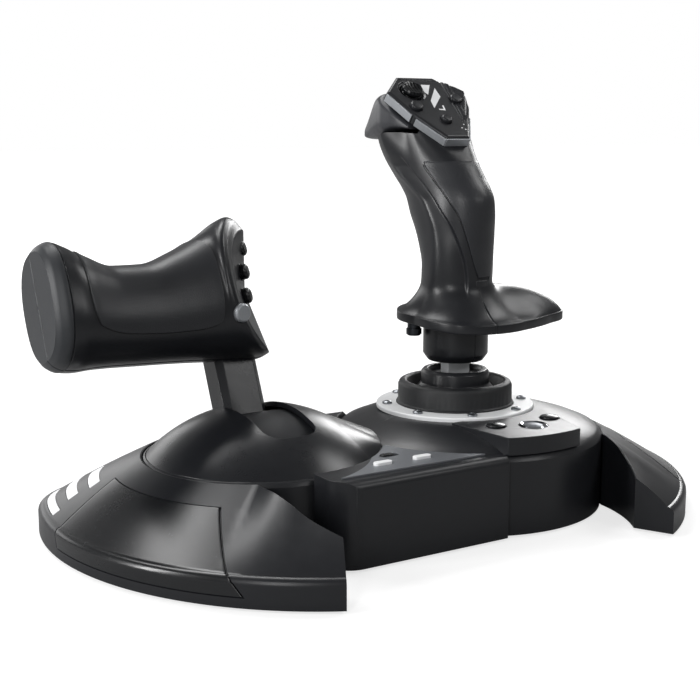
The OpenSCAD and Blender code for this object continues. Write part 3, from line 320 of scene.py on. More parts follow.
def moulded(name, colour, gloss, grain=0.35, depth=0.012, drift=0.06, mottle=0.18, **constants):
    """Plastic with a base roughness, a spark-eroded grain and slow drifts of gloss and colour."""
    paint = Paint(name, **{"Specular_IOR_Level": 0.38, **constants})
    cloud = paint.noise(24, 3.0)
    patch = paint.noise(5, 2.0)
    texture = paint.noise(grain, 2.0, 0.6)
    lively = cloud * 0.6 + patch * 0.4
    base = paint.colours(lively, shade(colour, 1 - mottle), shade(colour, 1 + mottle))
    rough = gloss + (lively - 0.5) * drift * 2 + (texture - 0.5) * 0.05
    return paint.wire(Base_Color=base, Roughness=rough, Normal=paint.relief(texture, depth))


body_black = moulded("body_black", "#1a1b1e", 0.34)
dome_black = moulded("dome_black", "#17181b", 0.29, grain=0.3, depth=0.008)
wing_black = moulded("wing_black", "#191a1d", 0.33, grain=0.4)
panel_gloss = moulded("panel_gloss", "#141517", 0.26, grain=0.8, depth=0.003, drift=0.04,
                      Coat_Weight=0.15, Coat_Roughness=0.2)
grip_black = moulded("grip_black", "#1b1c1f", 0.34, grain=0.45)
handle_black = moulded("handle_black", "#191a1d", 0.32, grain=0.4)
cap_black = moulded("cap_black", "#27292c", 0.46, grain=0.4, depth=0.014)
key_black = moulded("key_black", "#121315", 0.25, grain=0.8, depth=0.004)
head_black = moulded("head_black", "#1e1f22", 0.34, grain=0.5, depth=0.010)
trigger_grey = moulded("trigger_grey", "#2c2d31", 0.40, grain=0.45, depth=0.014)
joint_black = moulded("joint_black", "#08090a", 0.7, grain=0.6, depth=0.004)
inner_black = moulded("inner_black", "#202124", 0.5, grain=0.5, depth=0.015)
white_satin = moulded("white_satin", "#e9eaeb", 0.34, grain=0.5, depth=0.008, mottle=0.03)
shaft_grey = moulded("shaft_grey", "#c4c6c8", 0.38, grain=0.5, depth=0.010, mottle=0.05)
print("moulded plastics ready")

# %% [markdown]
# ## Soft-touch and rubber
# The grip's inlay and the palm panel have a soft coat with a close leather-like grain, and the
# boot round the shaft is rubber. Both scatter light widely. A cell pattern gives the grain
# its small rounded islands, which a plain noise would not.

# %% Soft finishes


def soft_touch(name, colour, gloss, cell, depth):
    """Soft coat: rounded islands, cell millimetres apart, over a slow drift of tone."""
    paint = Paint(name, Specular_IOR_Level=0.4)
    cells = paint.node("ShaderNodeTexVoronoi", {"feature": "SMOOTH_F1"},
                       {"Vector": paint.place, "Scale": 1000 / cell, "Smoothness": 0.6},
                       out="Distance")
    cloud = paint.noise(18, 3.0)
    base = paint.colours(cloud * 0.7 + cells * 0.3, shade(colour, 0.8), shade(colour, 1.25))
    rough = gloss + (cloud - 0.5) * 0.12 - cells * 0.06
    return paint.wire(Base_Color=base, Roughness=rough, Normal=paint.relief(cells, -depth))


grip_coat = soft_touch("grip_coat", "#26272a", 0.42, 0.55, 0.05)
palm_coat = soft_touch("palm_coat", "#1f2023", 0.42, 0.5, 0.03)
boot_rubber = soft_touch("boot_rubber", "#1a1b1d", 0.55, 0.4, 0.02)
foot_rubber = soft_touch("foot_rubber", "#111213", 0.62, 0.7, 0.05)
print("soft finishes ready")

# %% [markdown]
# ## Metals and bright trims
# The trims look like brushed metal: fine lines in one direction that stretch the highlights.
# The lines are a noise squeezed along one axis. Screws are plain turned steel, with faint
# rings, and the ring of the middle button is chrome.

# %% Metals


def metal(name, colour, gloss, stretch, depth=0.004, spread=0.12, **constants):
    """Metal with fine lines: a noise squeezed along one axis feeds gloss, colour and relief."""
    paint = Paint(name, **{"Metallic": 1.0, **constants})
    lines = paint.noise(1.0, 3.0, 0.6, stretch)
    cloud = paint.noise(12, 2.0)
    base = paint.colours(lines * 0.6 + cloud * 0.4, shade(colour, 0.8), shade(colour, 1.12))
    rough = gloss + (lines - 0.5) * spread + (cloud - 0.5) * 0.08
    return paint.wire(Base_Color=base, Roughness=rough, Normal=paint.relief(lines, depth))


trim_metal = metal("trim_metal", "#8c8f94", 0.36, (0.12, 3.0, 3.0), Metallic=0.7)
bezel_metal = metal("bezel_metal", "#9b9ea2", 0.36, (3.0, 0.15, 0.15), Metallic=0.55)
chrome = metal("chrome", "#c9ccd0", 0.12, (1.0, 1.0, 4.0), depth=0.001, spread=0.04)
screw_steel = metal("screw_steel", "#8f9296", 0.30, (1.5, 1.5, 1.5), depth=0.003)
dull_steel = metal("dull_steel", "#75787d", 0.45, (0.3, 2.0, 2.0), depth=0.01)
dark_screw = metal("dark_screw", "#3a3c40", 0.35, (1.5, 1.5, 1.5), depth=0.003)


def circuit_board():
    """Green lacquer over copper tracks: a coarse brick pattern dims and dulls the lacquer."""
    paint = Paint("circuit_board", Coat_Weight=0.3)
    tracks = paint.node("ShaderNodeTexBrick", {"offset": 0.5},
                        {"Vector": paint.place, "Scale": 300.0, "Mortar Size": 0.08}, out="Fac")
    base = paint.colours(tracks, shade("#1c5a33"), shade("#2f7a48"))
    rough = 0.35 + tracks * 0.1
    return paint.wire(Base_Color=base, Roughness=rough, Normal=paint.relief(tracks, 0.03))


board_green = circuit_board()
print("metals ready")

# %% [markdown]
# ## The two wings
# A thin curved skirt runs from behind each housing round to a pointed tip at the front. It
# could be drawn by hand as a loft. Here it is one formula: an angle round the wing's centre,
# and a height parameter from the root over the slope and round the edge to the foot. Grid
# lines follow the borders of the glossy panel and of the stripes, so their pockets are crisp.

# %% Wing surface
STICK_X, HOUSING_R, HOUSING_Y, SHOULDER_Z = 45.0, 65.0, -11.0, 37.0
THROTTLE_X, THROTTLE_R, DOME_BALL, DOME_Z = 64.0, 54.0, 73.6, -15.6
WING_C, WING_R, WING_GAP = np.array([-25.5, 9.3]), 133.5, 0.2
WING_BACK, WING_TIP, TIP_C, TIP_R = 128.0, 242.9, np.array([-14.0, -51.0]), 77.0
SLOPE_END, EDGE_END, EDGE_R, SKIRT, FOOT = 0.7, 0.8, 3.0, 12.0, 1.2
ROOT_Z = [[120, 36.5], [226, 36.5], [231, 34.3], [235.5, 30.1], [WING_TIP, 24.5]]
PANEL_V, PANEL_TOP, PANEL_LOW = (0.22, 0.91), (177.0, 215.0), (181.0, 226.0)
STRIPES = ((0.315, 0.4, 158.0), (0.475, 0.555, 155.5), (0.625, 0.685, 157.0))


def far_side(a, centre, radius):
    """Distance from the wing's centre, at angle a, to the far side of a circle."""
    w = centre - WING_C
    b = w[0] * np.cos(np.radians(a)) + w[1] * np.sin(np.radians(a))
    return b + np.sqrt(np.maximum(0, b * b - w @ w + radius ** 2))


def wing_inner(a, right):
    """Inner radius of a wing: the outside of its housing, or of the free circle at the tip."""
    if right:
        body = far_side(a, np.array([-STICK_X, HOUSING_Y]), HOUSING_R + WING_GAP)
    else:
        body = far_side(a, np.array([-THROTTLE_X, 0.0]), THROTTLE_R + WING_GAP)
    return np.maximum(body, far_side(a, TIP_C, TIP_R))


def wing_point(a, v, right, lift=0.0):
    """Point on the wing: radius and height over the slope (v up to 0.7), round the edge (to 0.8)
    and down the skirt (to 1), then moved out by lift along the surface."""
    a, v, lift = np.broadcast_arrays(np.asarray(a, float), v, lift)
    ri = wing_inner(a, right)
    zi = through(a, ROOT_Z)
    ro = mix(ri + 9, WING_R, ease((a - WING_BACK + 14) / 50)) - EDGE_R
    on_slope, t = v <= SLOPE_END, v / SLOPE_END
    s, k = np.clip((v - SLOPE_END) / 0.1, 0, 1), np.clip((v - EDGE_END) / 0.2, 0, 1)
    bend, low = np.radians(90 * s), SKIRT - 1.4
    swell = 3.2 * t * (1 - t)
    r = np.where(on_slope, mix(ri, ro, t), ro + EDGE_R * np.sin(bend))
    z = np.where(on_slope, mix(zi, low + EDGE_R, t) + swell, low + EDGE_R * np.cos(bend))
    z = np.where(v > EDGE_END, mix(low, FOOT, k), z)
    slope = np.arctan2(zi - SKIRT, ro - ri)
    tilt = np.where(on_slope, np.pi / 2 - slope, (np.pi / 2 - slope) * (1 - s))
    r, z = r + lift * np.cos(tilt), z + lift * np.sin(tilt)
    point = ringed(a, r, z) + np.append(WING_C, 0.0)
    return point * np.array([-1.0 if right else 1.0, 1.0, 1.0])


def panel_sides(v):
    """Angles of the panel's two slanted sides at height v."""
    t = np.clip((v - PANEL_V[0]) / (PANEL_V[1] - PANEL_V[0]), 0, 1)
    return mix(PANEL_TOP[0], PANEL_LOW[0], t), mix(PANEL_TOP[1], PANEL_LOW[1], t)


def stripe_start(v):
    """Angle where the row of stripes starts at height v."""
    return np.interp(v, [0.40, 0.475, 0.555, 0.625], [158.0, 155.5, 155.5, 157.0])


def stripe_width(v):
    """Angle that a stripe covers at height v."""
    return mix(14.0, 16.0, np.clip((v - 0.3) / 0.4, 0, 1))


def wing_skin(right):
    """Grid of the wing's outside, sunk inside the pockets, closed below by a flat face."""
    panel_bed, stripe_bed, wall = 0.75, 0.55, 0.35
    inner_edge, lip = 0.008, 0.003
    counts = [14, 1, 10, 1, 3, 1, 26, 1, 20]
    rows = [knots([0, inner_edge, SLOPE_END, EDGE_END, 1.0], [3, 58, 12, 14])]
    rows += [[v0 - lip, v0, v1, v1 + lip] for v0, v1, _ in STRIPES]
    rows += [[PANEL_V[0] - lip, PANEL_V[0], PANEL_V[1], PANEL_V[1] + 2 * lip]]
    rows = np.unique(np.concatenate(rows))
    lo, hi = panel_sides(rows)
    start = stripe_start(rows)
    end = start + stripe_width(rows)
    d = np.degrees(wall / (60 + 70 * np.minimum(rows / SLOPE_END, 1)))
    stops = [WING_BACK + 0 * rows, start - d, start, end, end + d, lo - d, lo, hi, hi + d,
             WING_TIP + 0 * rows]
    a = np.stack([knots(line, counts) for line in np.array(stops).T])
    band = knots(np.arange(10.0), counts)[None, :]
    v = rows[:, None]
    in_panel = (v >= PANEL_V[0]) & (v <= PANEL_V[1]) & (band >= 6) & (band <= 7)
    in_stripe = np.zeros_like(a, bool)
    for v0, v1, _ in STRIPES:
        in_stripe |= (v >= v0) & (v <= v1) & (band >= 2) & (band <= 3)
    inner_round = 0.5 * (1 - ease(v / inner_edge))
    depth = panel_bed * in_panel + stripe_bed * in_stripe + inner_round
    top = wing_point(a, v, right, -depth)
    foot = top[:1].copy()
    foot[..., 2] = FOOT
    return np.concatenate([foot, top]).transpose(1, 0, 2)


def wing_inset(right, a0, a1, v0, v1, proud, sink, n, m, edge=0.45):
    """Inset between the angles a0(v) and a1(v): proud in the middle, with a rounded border. The
    border's distance is worked out for a mean radius of 100 mm and a slope of 108 mm."""
    s = np.unique(np.concatenate([np.linspace(0, 1, n), [0.004, 0.012, 0.988, 0.996]]))[:, None]
    t = np.unique(np.concatenate([np.linspace(0, 1, m), [0.005, 0.015, 0.985, 0.995]]))[None, :]
    v = mix(v0, v1, t)
    lo, hi = a0(v), a1(v)
    a = mix(lo, hi, s)
    across = (hi - lo) * np.radians(1) * 100
    along = (v1 - v0) * 108
    rim = np.minimum(np.minimum(s, 1 - s) * across, np.minimum(t, 1 - t) * along)
    lift = proud - edge * (1 - np.clip(rim / edge, 0, 1)) ** 2
    return wing_point(a, v, right, lift), wing_point(a, v, right, sink + 0 * lift)


for right, side in ((False, "left"), (True, "right")):
    wing = tube(f"{side}_wing_skin", wing_skin(right), crease=30)
    wear(wing, wing_black, "base", f"{side}_wing", slot="black_plastic")
    top, bottom = wing_inset(right, lambda v: panel_sides(v)[0] + 0.12,
                             lambda v: panel_sides(v)[1] - 0.12,
                             PANEL_V[0] + 0.002, PANEL_V[1] - 0.004,
                             proud=0.12, sink=-0.72, n=90, m=60)
    gloss = slab(f"{side}_wing_gloss", top, bottom, SKIN_CREASE)
    wear(gloss, panel_gloss, "base", f"{side}_wing_panel", slot="gloss_black")

# %% [markdown]
# Three short white bars are let into the back of each wing, one behind the other. They are
# the same kind of inset as the glossy panel, so the same function makes them.

# %% White bars
bars = []
for right in (False, True):
    for v0, v1, start in STRIPES:
        end = start + stripe_width(0.5 * (v0 + v1))
        top, bottom = wing_inset(right, lambda v: start + 0.15 + 0 * v,
                                 lambda v: end - 0.15 + 0 * v,
                                 v0 + 0.002, v1 - 0.002,
                                 proud=0.05, sink=-0.5, n=24, m=10, edge=0.3)
        bars.append(slab("bar", top, bottom, SKIN_CREASE))
wear(joined("white_bars", bars), white_satin, "base", "wing_stripe_inlays", slot="white_plastic")

# %% [markdown]
# ## The base
# The two round housings, the dome, the bridge and the small controls are turned or extruded
# forms that the engineering model holds exactly. They are shown as copies with round edges,
# each with an edge width that suits its size.

# %% Base parts
BASE_PARTS = {
    "stick_housing": (0.5, body_black, "black_plastic"),
    "throttle_housing": (0.4, body_black, "black_plastic"),
    "front_bridge": (0.5, body_black, "black_plastic"),
    "rear_bridge": (0.4, body_black, "black_plastic"),
    "throttle_dome": (0.4, dome_black, "satin_plastic"),
    "bridge_trim": (0.2, trim_metal, "silver_plastic"),
    "home_panel": (0.5, body_black, "satin_plastic"),
    "home_ring": (0.0, chrome, "chrome"),
    "retaining_ring": (0.25, white_satin, "white_plastic"),
    "ring_screws": (0.12, screw_steel, "steel"),
    "rubber_boot": (0.3, boot_rubber, "rubber"),
    "cable_gland": (0.2, boot_rubber, "rubber"),
}
for node, (bevel, finish, slot) in BASE_PARTS.items():
    dress(node, bevel, finish, "base", slot)

# %% [markdown]
# Between the dome and the stick housing the surface runs on as a straight flank. It has no
# part of its own in the engineering model, so it is one more grid that rests on the dome.

# %% Flank of the dome
FLANK_IN, FLANK_OUT, FLANK_LOW = 28.0, 54.4, 39.9


def dome_skirt(rows=40, steps=90):
    """Grid of the dome's flank towards the stick housing. At each angle the section is the dome's
    ball up to where the straight line from the flank's outer end touches it, then that line.
    The end follows the housing's round shoulder. The flank fades into the ball at both sides."""
    a = np.linspace(-52, 52, steps)[None, :]
    t = np.linspace(0, 1, rows)[:, None]
    r = mix(FLANK_IN, FLANK_OUT, t)
    x, y, _ = np.moveaxis(ringed(a, r, 0.0), -1, 0)
    x = x - THROTTLE_X
    gap = HOUSING_R - np.hypot(x[-1] - STICK_X, y[-1] - HOUSING_Y)
    shoulder = SHOULDER_Z + np.interp(gap, [0, 3, 9, 17, 26], [0, 1.6, 4, 6.4, 8.2])
    far = np.maximum(FLANK_LOW, shoulder)
    reach = np.hypot(FLANK_OUT, far - DOME_Z)
    slope = np.tan(np.pi + np.arctan2(far - DOME_Z, FLANK_OUT) - np.arcsin(DOME_BALL / reach))
    ball = DOME_Z + np.sqrt(DOME_BALL ** 2 - r ** 2)
    side = 1 - ease((np.abs(a) - 26) / 24)
    z = mix(ball, np.maximum(far + (r - FLANK_OUT) * slope, ball), side) - 0.2 * (1 - t)
    return np.stack([x, y, z], -1)


saddle = dome_skirt()
flank = slab("dome_skirt", saddle, saddle - np.array([0, 0, 2.5]), SKIN_CREASE)
wear(flank, dome_black, "base", slot="satin_plastic")

# %% [markdown]
# The keys stand in their holes with a thin dark gap all round. Their tops are slightly domed
# or flat with a soft rim, which a bevel of a few tenths of a millimetre gives.

# %% Keys on the base
KEY_EDGE = 0.3
BASE_KEYS = {
    "preset_button": ("preset_key", white_satin, "white_plastic"),
    "mapping_button": ("mapping_key", white_satin, "white_plastic"),
    "mode_switch": ("switch_slider", key_black, "key_plastic"),
    "share_button": ("share_key", key_black, "key_plastic"),
    "home_button": ("home_key", dull_steel, "key_plastic"),
    "menu_button": ("menu_key", key_black, "key_plastic"),
}
for node, (body, finish, slot) in BASE_KEYS.items():
    dress(node, KEY_EDGE, finish, body, slot)

# %% [markdown]
# ## The parts inside
# The gimbal, spring, board and weight are out of sight, but a reader who takes the model apart
# should find them finished too. They keep their engineering shapes and get a material.

# %% Inner parts
INNER = {
    "base_plate": inner_black, "gimbal_frame": inner_black, "twist_bushing": shaft_grey,
    "gimbal_yoke": dull_steel, "pitch_pin": screw_steel, "return_spring": screw_steel,
    "main_board": board_green, "weight_plate": dull_steel, "rubber_feet": foot_rubber,
    "base_screws": screw_steel, "trigger_pin": screw_steel, "throttle_axle": dull_steel,
    "hat_ring": key_black,
}
for node, finish in INNER.items():
    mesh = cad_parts[node].data
    mesh.materials.clear()
    mesh.materials.append(finish)
print("inner parts finished:", len(INNER))

# %% [markdown]
# ## Shaft, cuff and small parts of the stick
# A pale shaft joins the grip to the cuff that stands in the rubber boot. The shaft has a fine
# moulded texture, and the cuff is satin black. The small screw under the hand rest locks the twist.

# %% Shaft and cuff
dress("stick_shaft", 0.5, shaft_grey, "stick", "shaft_plastic")
dress("shaft_cuff", 0.3, head_black, "stick", "satin_plastic")
dress("twist_lock_screw", 0.3, dark_screw, "grip", "satin_plastic")

# %% [markdown]
# ## The grip
# A hand rest with a pointed right side, a column that leans with the hand, and a neck that
# widens to the head. It could be sculpted. Here every point has an angle round the stick and
# a place along one path: collar, underside, rim, top of the rest, column, neck.

# %% Grip surface
GRIP_Z, COLLAR_R, REST_Z, REST_T, COLUMN_Z, NECK_Z = 68.5, 16.0, 85.0, 4.8, 105.0, 163.0
HEAD_TILT, HEAD_Z, BEZEL_H = np.radians(38.0), 175.5, 4.0
REST_EDGE = [[-210, 29], [-180, 25], [-150, 27.5], [-120, 32], [-90, 33], [-60, 36], [-45, 40],
             [-30, 47], [-15, 57.5], [0, 48], [15, 41], [45, 33], [90, 29], [120, 29.5],
             [150, 29], [180, 25]]
COLUMN_Y = [[105, 0], [116, -0.5], [124, 0.5], [131, 2], [140, 4.5], [147, 6.5], [152, 10],
            [157, 15], [163, 20.7]]
COLUMN_A = [[105, 17], [116, 17], [131, 17.2], [140, 17.8], [152, 18], [163, 18.5]]
COLUMN_B = [[105, 18], [116, 18.2], [124, 20], [131, 22], [140, 25], [147, 26.5], [152, 27.5],
            [163, 29]]
INLAY_LEFT = [[109, -90], [111, -94], [117, -102.5], [129, -116], [141, -129], [146, -137.5],
              [152, -144], [163, -150]]
INLAY_RIGHT = [[110, -66], [124, -52], [140, -34], [152, -20], [163, -4]]
GROOVE = [[100, -109], [109, -109], [117, -113.5], [125, -122.8], [133, -133], [138, -140.2],
          [144, -150.5], [151, -158.5], [157.5, -163], [163, -170], [170, -178]]
RIDGE = [[105, -176], [114, -168], [124, -163.2], [133, -164], [145, -172], [154, -186],
         [160, -196], [170, -204]]
NECK_BULGE, WALL = 5.5, 2.4
HEAD_CORNERS = np.array([[-7.2, 0], [7.2, 0], [17.2, 17.3], [23.4, 35.8], [10.8, 48.8],
                         [-10.8, 48.8], [-23.4, 35.8], [-17.2, 17.3]])
HEAD_MIDDLE, HAT_U, HAT_V = 27, -8, 37
TO_STICK = np.array([STICK_X, 0, 0])


def wrapped(a):
    """Angle brought into -180..180."""
    return (a + 180) % 360 - 180


def rest_radius(a):
    """Radius of the hand rest's edge at the angle a."""
    return through(np.where(wrapped(a) < -179.99, -180, wrapped(a)), REST_EDGE)


def rest_low(y):
    """Height of the hand rest's underside, which rises gently towards the front."""
    return REST_Z + 0.07 * (y + 33)


def column(a, z, out=0.0):
    """Point on the column: an ellipse round the stick whose centre and half widths follow z."""
    a, z = np.broadcast_arrays(a, z)
    c, s = np.cos(np.radians(a)), np.sin(np.radians(a))
    half_x, half_y = through(z, COLUMN_A) + out, through(z, COLUMN_B) + out
    return np.stack([half_x * c, through(z, COLUMN_Y) + half_y * s, z], -1)


def from_head(u, v, w):
    """Point of the head's own tilted plane (u across, v forward, w up) in the stick's frame."""
    c, s = np.cos(HEAD_TILT), np.sin(HEAD_TILT)
    return np.stack(np.broadcast_arrays(u, -0.5 + v * c - w * s, HEAD_Z + v * s + w * c), -1)


def head_rim(a):
    """Outline of the head at angle a: the corners of its eight-sided plate, joined straight."""
    left = np.abs(wrapped(a)) > 90
    right = np.where(left, wrapped(180 - a), wrapped(a))
    stops = [-90, -75, -30, 15, 60, 90]
    u = np.interp(right, stops, [0, 7.2, 17.2, 23.4, 10.8, 0]) * np.where(left, -1, 1)
    return from_head(u, np.interp(right, stops, [0, 0, 17.3, 35.8, 48.8, 48.8]), -BEZEL_H - 0.1)


def rest_top(a, f):
    """Top of the hand rest: f runs from 0 at the column to 1 at the rim. It is hollow beside the
    column, but full towards the long right side."""
    foot = column(a, COLUMN_Z)[..., :2]
    rim = ringed(a, rest_radius(a), 0)[..., :2]
    p = mix(foot, rim, f)
    full = ease(1 - np.abs(wrapped(a) + 5) / 55)
    h = mix((1 - f) ** 1.8, 1 - f ** 3.2, full)
    return np.concatenate([p, mix(rest_low(p[..., 1]) + REST_T, COLUMN_Z, h)[..., None]], -1)


def neck(a, t):
    """Neck: straight lines from the column (t = 0) to the head's rim (t = 1), which swell by
    4t(1 - t) times the bulge at the front, under the trigger."""
    swell = 4 * t * (1 - t) * NECK_BULGE * ease((np.sin(np.radians(a)) + 0.3) / 0.8)
    return mix(column(a, NECK_Z + 0 * a), head_rim(a), t) + ringed(a, swell, 0)


def sculpt(a, z):
    """Depth cut into the column at angle a and height z: a sharp step down at the groove, then a
    hollow that rises again to the soft ridge. It fades out at both ends of the column."""
    deep, ridge_height = 2.0, 0.5
    g, r = through(z, GROOVE), through(z, RIDGE)
    s = (g - a) / (g - r)
    fade = ease((z - 99) / 9) * (1 - ease((z - 162) / 7))
    hollow = deep * ease((g - a) / 5) * (1 - ease(s))
    return fade * (hollow - ridge_height * np.exp(-(s - 1) ** 2 / 0.08))


def grip_rows(a):
    """All rows of the grip at the angles a: a list of (points, softness) from collar to head."""
    r = rest_radius(a)
    low = rest_low(r * np.sin(np.radians(a)))
    # The collar, with a bevel at its foot.
    bevel = 3.6
    foot = ((2.7, 0), (2.35, 0.2), (0.2, 3.2), (0, bevel))
    rows = [(ringed(a, COLLAR_R - back, GRIP_Z + up + 0 * a), 0) for back, up in foot]
    under = rest_low(COLLAR_R * np.sin(np.radians(a)))
    rows += [(ringed(a, COLLAR_R, mix(GRIP_Z + bevel, under, t)), 0) for t in (0.3, 0.6, 0.85, 1.0)]
    # The underside of the hand rest, then its rounded rim.
    for t in (0.06, 0.15, 0.3, 0.5, 0.7, 0.9):
        q = mix(COLLAR_R, r - 1.0, t)
        rows.append((ringed(a, q, rest_low(q * np.sin(np.radians(a)))), 0))
    for middle, b0, b1 in ((0.9, -90, 0), (REST_T - 0.7, 0, 90)):
        for b in np.radians(np.linspace(b0, b1, 6)):
            rows.append((ringed(a, r - 0.8 + 0.8 * np.cos(b), low + middle + 0.7 * np.sin(b)), 0))
    # The top of the rest, the column and the neck.
    rows += [(rest_top(a, f), min(1.0, (1 - f) * 2.5)) for f in np.linspace(0.95, 0, 30)]
    rows += [(column(a, z), float(np.clip((119 - z) / 12, 0, 1)))
             for z in np.linspace(105.8, NECK_Z, 72)]
    rows += [(neck(a, t), 0) for t in np.linspace(0, 1, 24)[1:]]
    return rows


def soften(points, weight, times):
    """Pulls each row towards the mean of its two neighbours, by its weight, some times over."""
    weight = np.asarray(weight)[:, None, None]
    for _ in range(times):
        middle = 0.5 * (points[:-2] + points[2:])
        points[1:-1] += 0.5 * weight[1:-1] * (middle - points[1:-1])
    return points


def inlay_sides(z):
    """Angles of the inlay's left and right sides at height z."""
    return through(z, INLAY_LEFT), through(z, INLAY_RIGHT)


def grip_skin():
    """Grid of the whole grip. Grid lines follow the groove and the inlay's sides, where the skin
    drops by a fraction of a millimetre, so that the inlay lies in a crisp bed. Lower down the
    inlay's left line runs on as the seam between the grip's two halves."""
    counts = [70, 10, 26, 1, 28, 1, 96]
    band = knots(np.arange(8.0), counts)[:-1]
    even = np.interp(band, range(8), [-270, -145, -140, -100.8, -100, -66, -65.2, 90])
    inlay_low, inlay_high, inlay_bed, seam_bed, first_cut = 109.6, 163.3, 0.45, 0.35, 30
    rows = grip_rows(even)
    weights = [w for _, w in rows]
    heights = np.array([p[..., 2].mean() for p, _ in rows])
    grid = []
    for z in heights:
        lo, hi = inlay_sides(np.clip(z, 105, NECK_Z))
        g = min(float(through(np.clip(z, 100, 170), GROOVE)), lo - 6)
        grid.append(np.interp(band, range(8), [-270, g - 5, g, lo - 0.7, lo, hi, hi + 0.9, 90]))
    grid = np.array(grid)
    points = np.array([grip_rows(a)[i][0] for i, a in enumerate(grid)])
    points = soften(points, weights, times=14)
    z = points[..., 2]
    level, row = heights[:, None], np.arange(len(z))[:, None]
    inside = (band >= 4) & (band <= 5) & (level > inlay_low) & (level < inlay_high)
    seam = (band >= 3) & (band <= 4) & (level < inlay_low)
    depth = inlay_bed * inside + seam_bed * seam + sculpt(grid, z) * (row > first_cut)
    centre = np.stack([0 * heights, through(np.clip(heights, 105, 163), COLUMN_Y)], -1)[:, None, :]
    outward = points[..., :2] - centre
    outward /= np.linalg.norm(outward, axis=-1, keepdims=True)
    points[..., :2] -= outward * depth[..., None]
    return points + TO_STICK


def carve(piece, *cutters):
    """Cuts closed meshes out of a piece and removes them: the result is one plain mesh."""
    for cutter in cutters:
        cut = piece.modifiers.new("cut", "BOOLEAN")
        cut.operation = "DIFFERENCE"
        cut.solver = "EXACT"
        cut.object = cutter
    bpy.context.view_layer.update()
    ready = piece.evaluated_get(bpy.context.evaluated_depsgraph_get())
    mesh = bpy.data.meshes.new_from_object(ready)
    piece.modifiers.clear()
    piece.data = mesh
    for cutter in cutters:
        bpy.data.objects.remove(cutter)
    return piece


def rod(name, foot, direction, radius, length, place=lambda p: p):
    """Closed round bar from foot along direction, for cutting a hole, moved by place."""
    d = np.asarray(direction, float) / np.linalg.norm(direction)
    side = np.cross(d, [0.3, 0.5, 0.81])
    side /= np.linalg.norm(side)
    up = np.cross(d, side)
    a = np.linspace(0, 2 * np.pi, 64, endpoint=False)[:, None]
    ring = radius * (side * np.cos(a) + up * np.sin(a))
    return tube(name, place(np.stack([ring + foot, ring + foot + d * length])), SKIN_CREASE)


def shell(piece, wall):
    """Gives a skin its wall, inwards."""
    solid = piece.modifiers.new("wall", "SOLIDIFY")
    solid.thickness = wall * MM
    solid.offset = -1
    return piece


def grip_core():
    """Hollow of the grip: a plain bore in the collar, then the column and head one wall inside."""
    a = np.linspace(-180, 180, 72, endpoint=False)
    rows = [ringed(a, 13.4, z + 0 * a) for z in (66.0, 88.0)]
    rows += [column(a, z + 0 * a, -WALL) for z in np.linspace(106, NECK_Z, 24)]
    middle = from_head(0, HEAD_MIDDLE, -BEZEL_H)
    up = from_head(0, HEAD_MIDDLE, 1) - from_head(0, HEAD_MIDDLE, 0)
    rim = head_rim(a)
    rim = rim + (middle - rim) * 2.6 / np.linalg.norm(middle - rim, axis=1, keepdims=True)
    swell = 4 * NECK_BULGE * ease((np.sin(np.radians(a)) + 0.3) / 0.8)
    rows += [mix(column(a, NECK_Z, -WALL), rim, t) + ringed(a, swell * t * (1 - t), 0)
             for t in np.linspace(0.1, 1, 10)]
    rows += [rim + 3 * up]
    return np.array(rows) + TO_STICK


# The outline (y, z) of the room in which the trigger swings, cut right through the neck.
ROOM = np.array([[12, 178.4], [12, 180.6], [45, 206.5], [80, 206.5], [80, 174.4], [56, 174.9],
                 [50, 175], [44, 175.6], [40, 176.3], [34, 177.6], [28, 178.9], [24, 179.05],
                 [20, 179], [16, 178.7]])
walls = [np.insert(ROOM, 0, STICK_X + x, axis=1) for x in (-40, 40)]
room = tube("room", np.stack(walls))
grip = carve(tube("grip_skin", grip_skin(), SKIN_CREASE), tube("core", grip_core()), room)
smooth(grip.data, SKIN_CREASE)
wear(grip, grip_black, "grip", "left_grip_shell", "right_grip_shell", slot="satin_plastic")

# %% [markdown]
# The palm side of the column carries a separate soft panel. It follows the column's formula,
# a little further out, and its border rolls down into the bed cut for it.

# %% Grip inlay


def soft_patch(name, surface, n, m, proud, sink, edge, size):
    """Thin panel on surface(s, t, out): proud in the middle, rolled down at its border. Size is
    its rough width along s and t in millimetres."""
    s = np.unique(np.concatenate([np.linspace(0, 1, n), [0.006, 0.016, 0.984, 0.994]]))[:, None]
    t = np.unique(np.concatenate([np.linspace(0, 1, m), [0.006, 0.016, 0.984, 0.994]]))[None, :]
    rim = np.minimum(np.minimum(s, 1 - s) * size[0], np.minimum(t, 1 - t) * size[1])
    lift = proud - edge * (1 - np.clip(rim / edge, 0, 1)) ** 2
    return slab(name, surface(s, t, lift), surface(s, t, sink + 0 * lift), crease=50)


def inlay_surface(s, t, out):
    """Column up to the neck, then straight on to the head: z follows s, the angle follows t."""
    z = mix(110.3, 165.6, s)
    lo, hi = inlay_sides(np.clip(z, 110, 163))
    a = mix(lo + 0.9, hi - 0.9, t)
    t2 = np.clip((z - NECK_Z) / (head_rim(a)[..., 2] - NECK_Z), 0, 1)[..., None]
    low = column(a, np.minimum(z, NECK_Z) + 0 * t, out)
    return mix(low, head_rim(a), t2) + TO_STICK


def cover_surface(s, t, out):
    """Strip of the column just below the inlay."""
    z = mix(105.4, 109.2, s)
    return column(mix(-96.0, -70.0, t), z + 0 * t, out) + TO_STICK


inlay = soft_patch("grip_panel", inlay_surface, 64, 44, proud=0.25, sink=-0.4, edge=0.5,
                   size=(55, 30))
cover = soft_patch("grip_cover", cover_surface, 14, 24, proud=0.3, sink=-0.6, edge=0.4,
                   size=(4, 9))
wear(cover, grip_black, "grip", slot="satin_plastic")
wear(inlay, grip_coat, "grip", "grip_inlay", slot="grip_rubber")

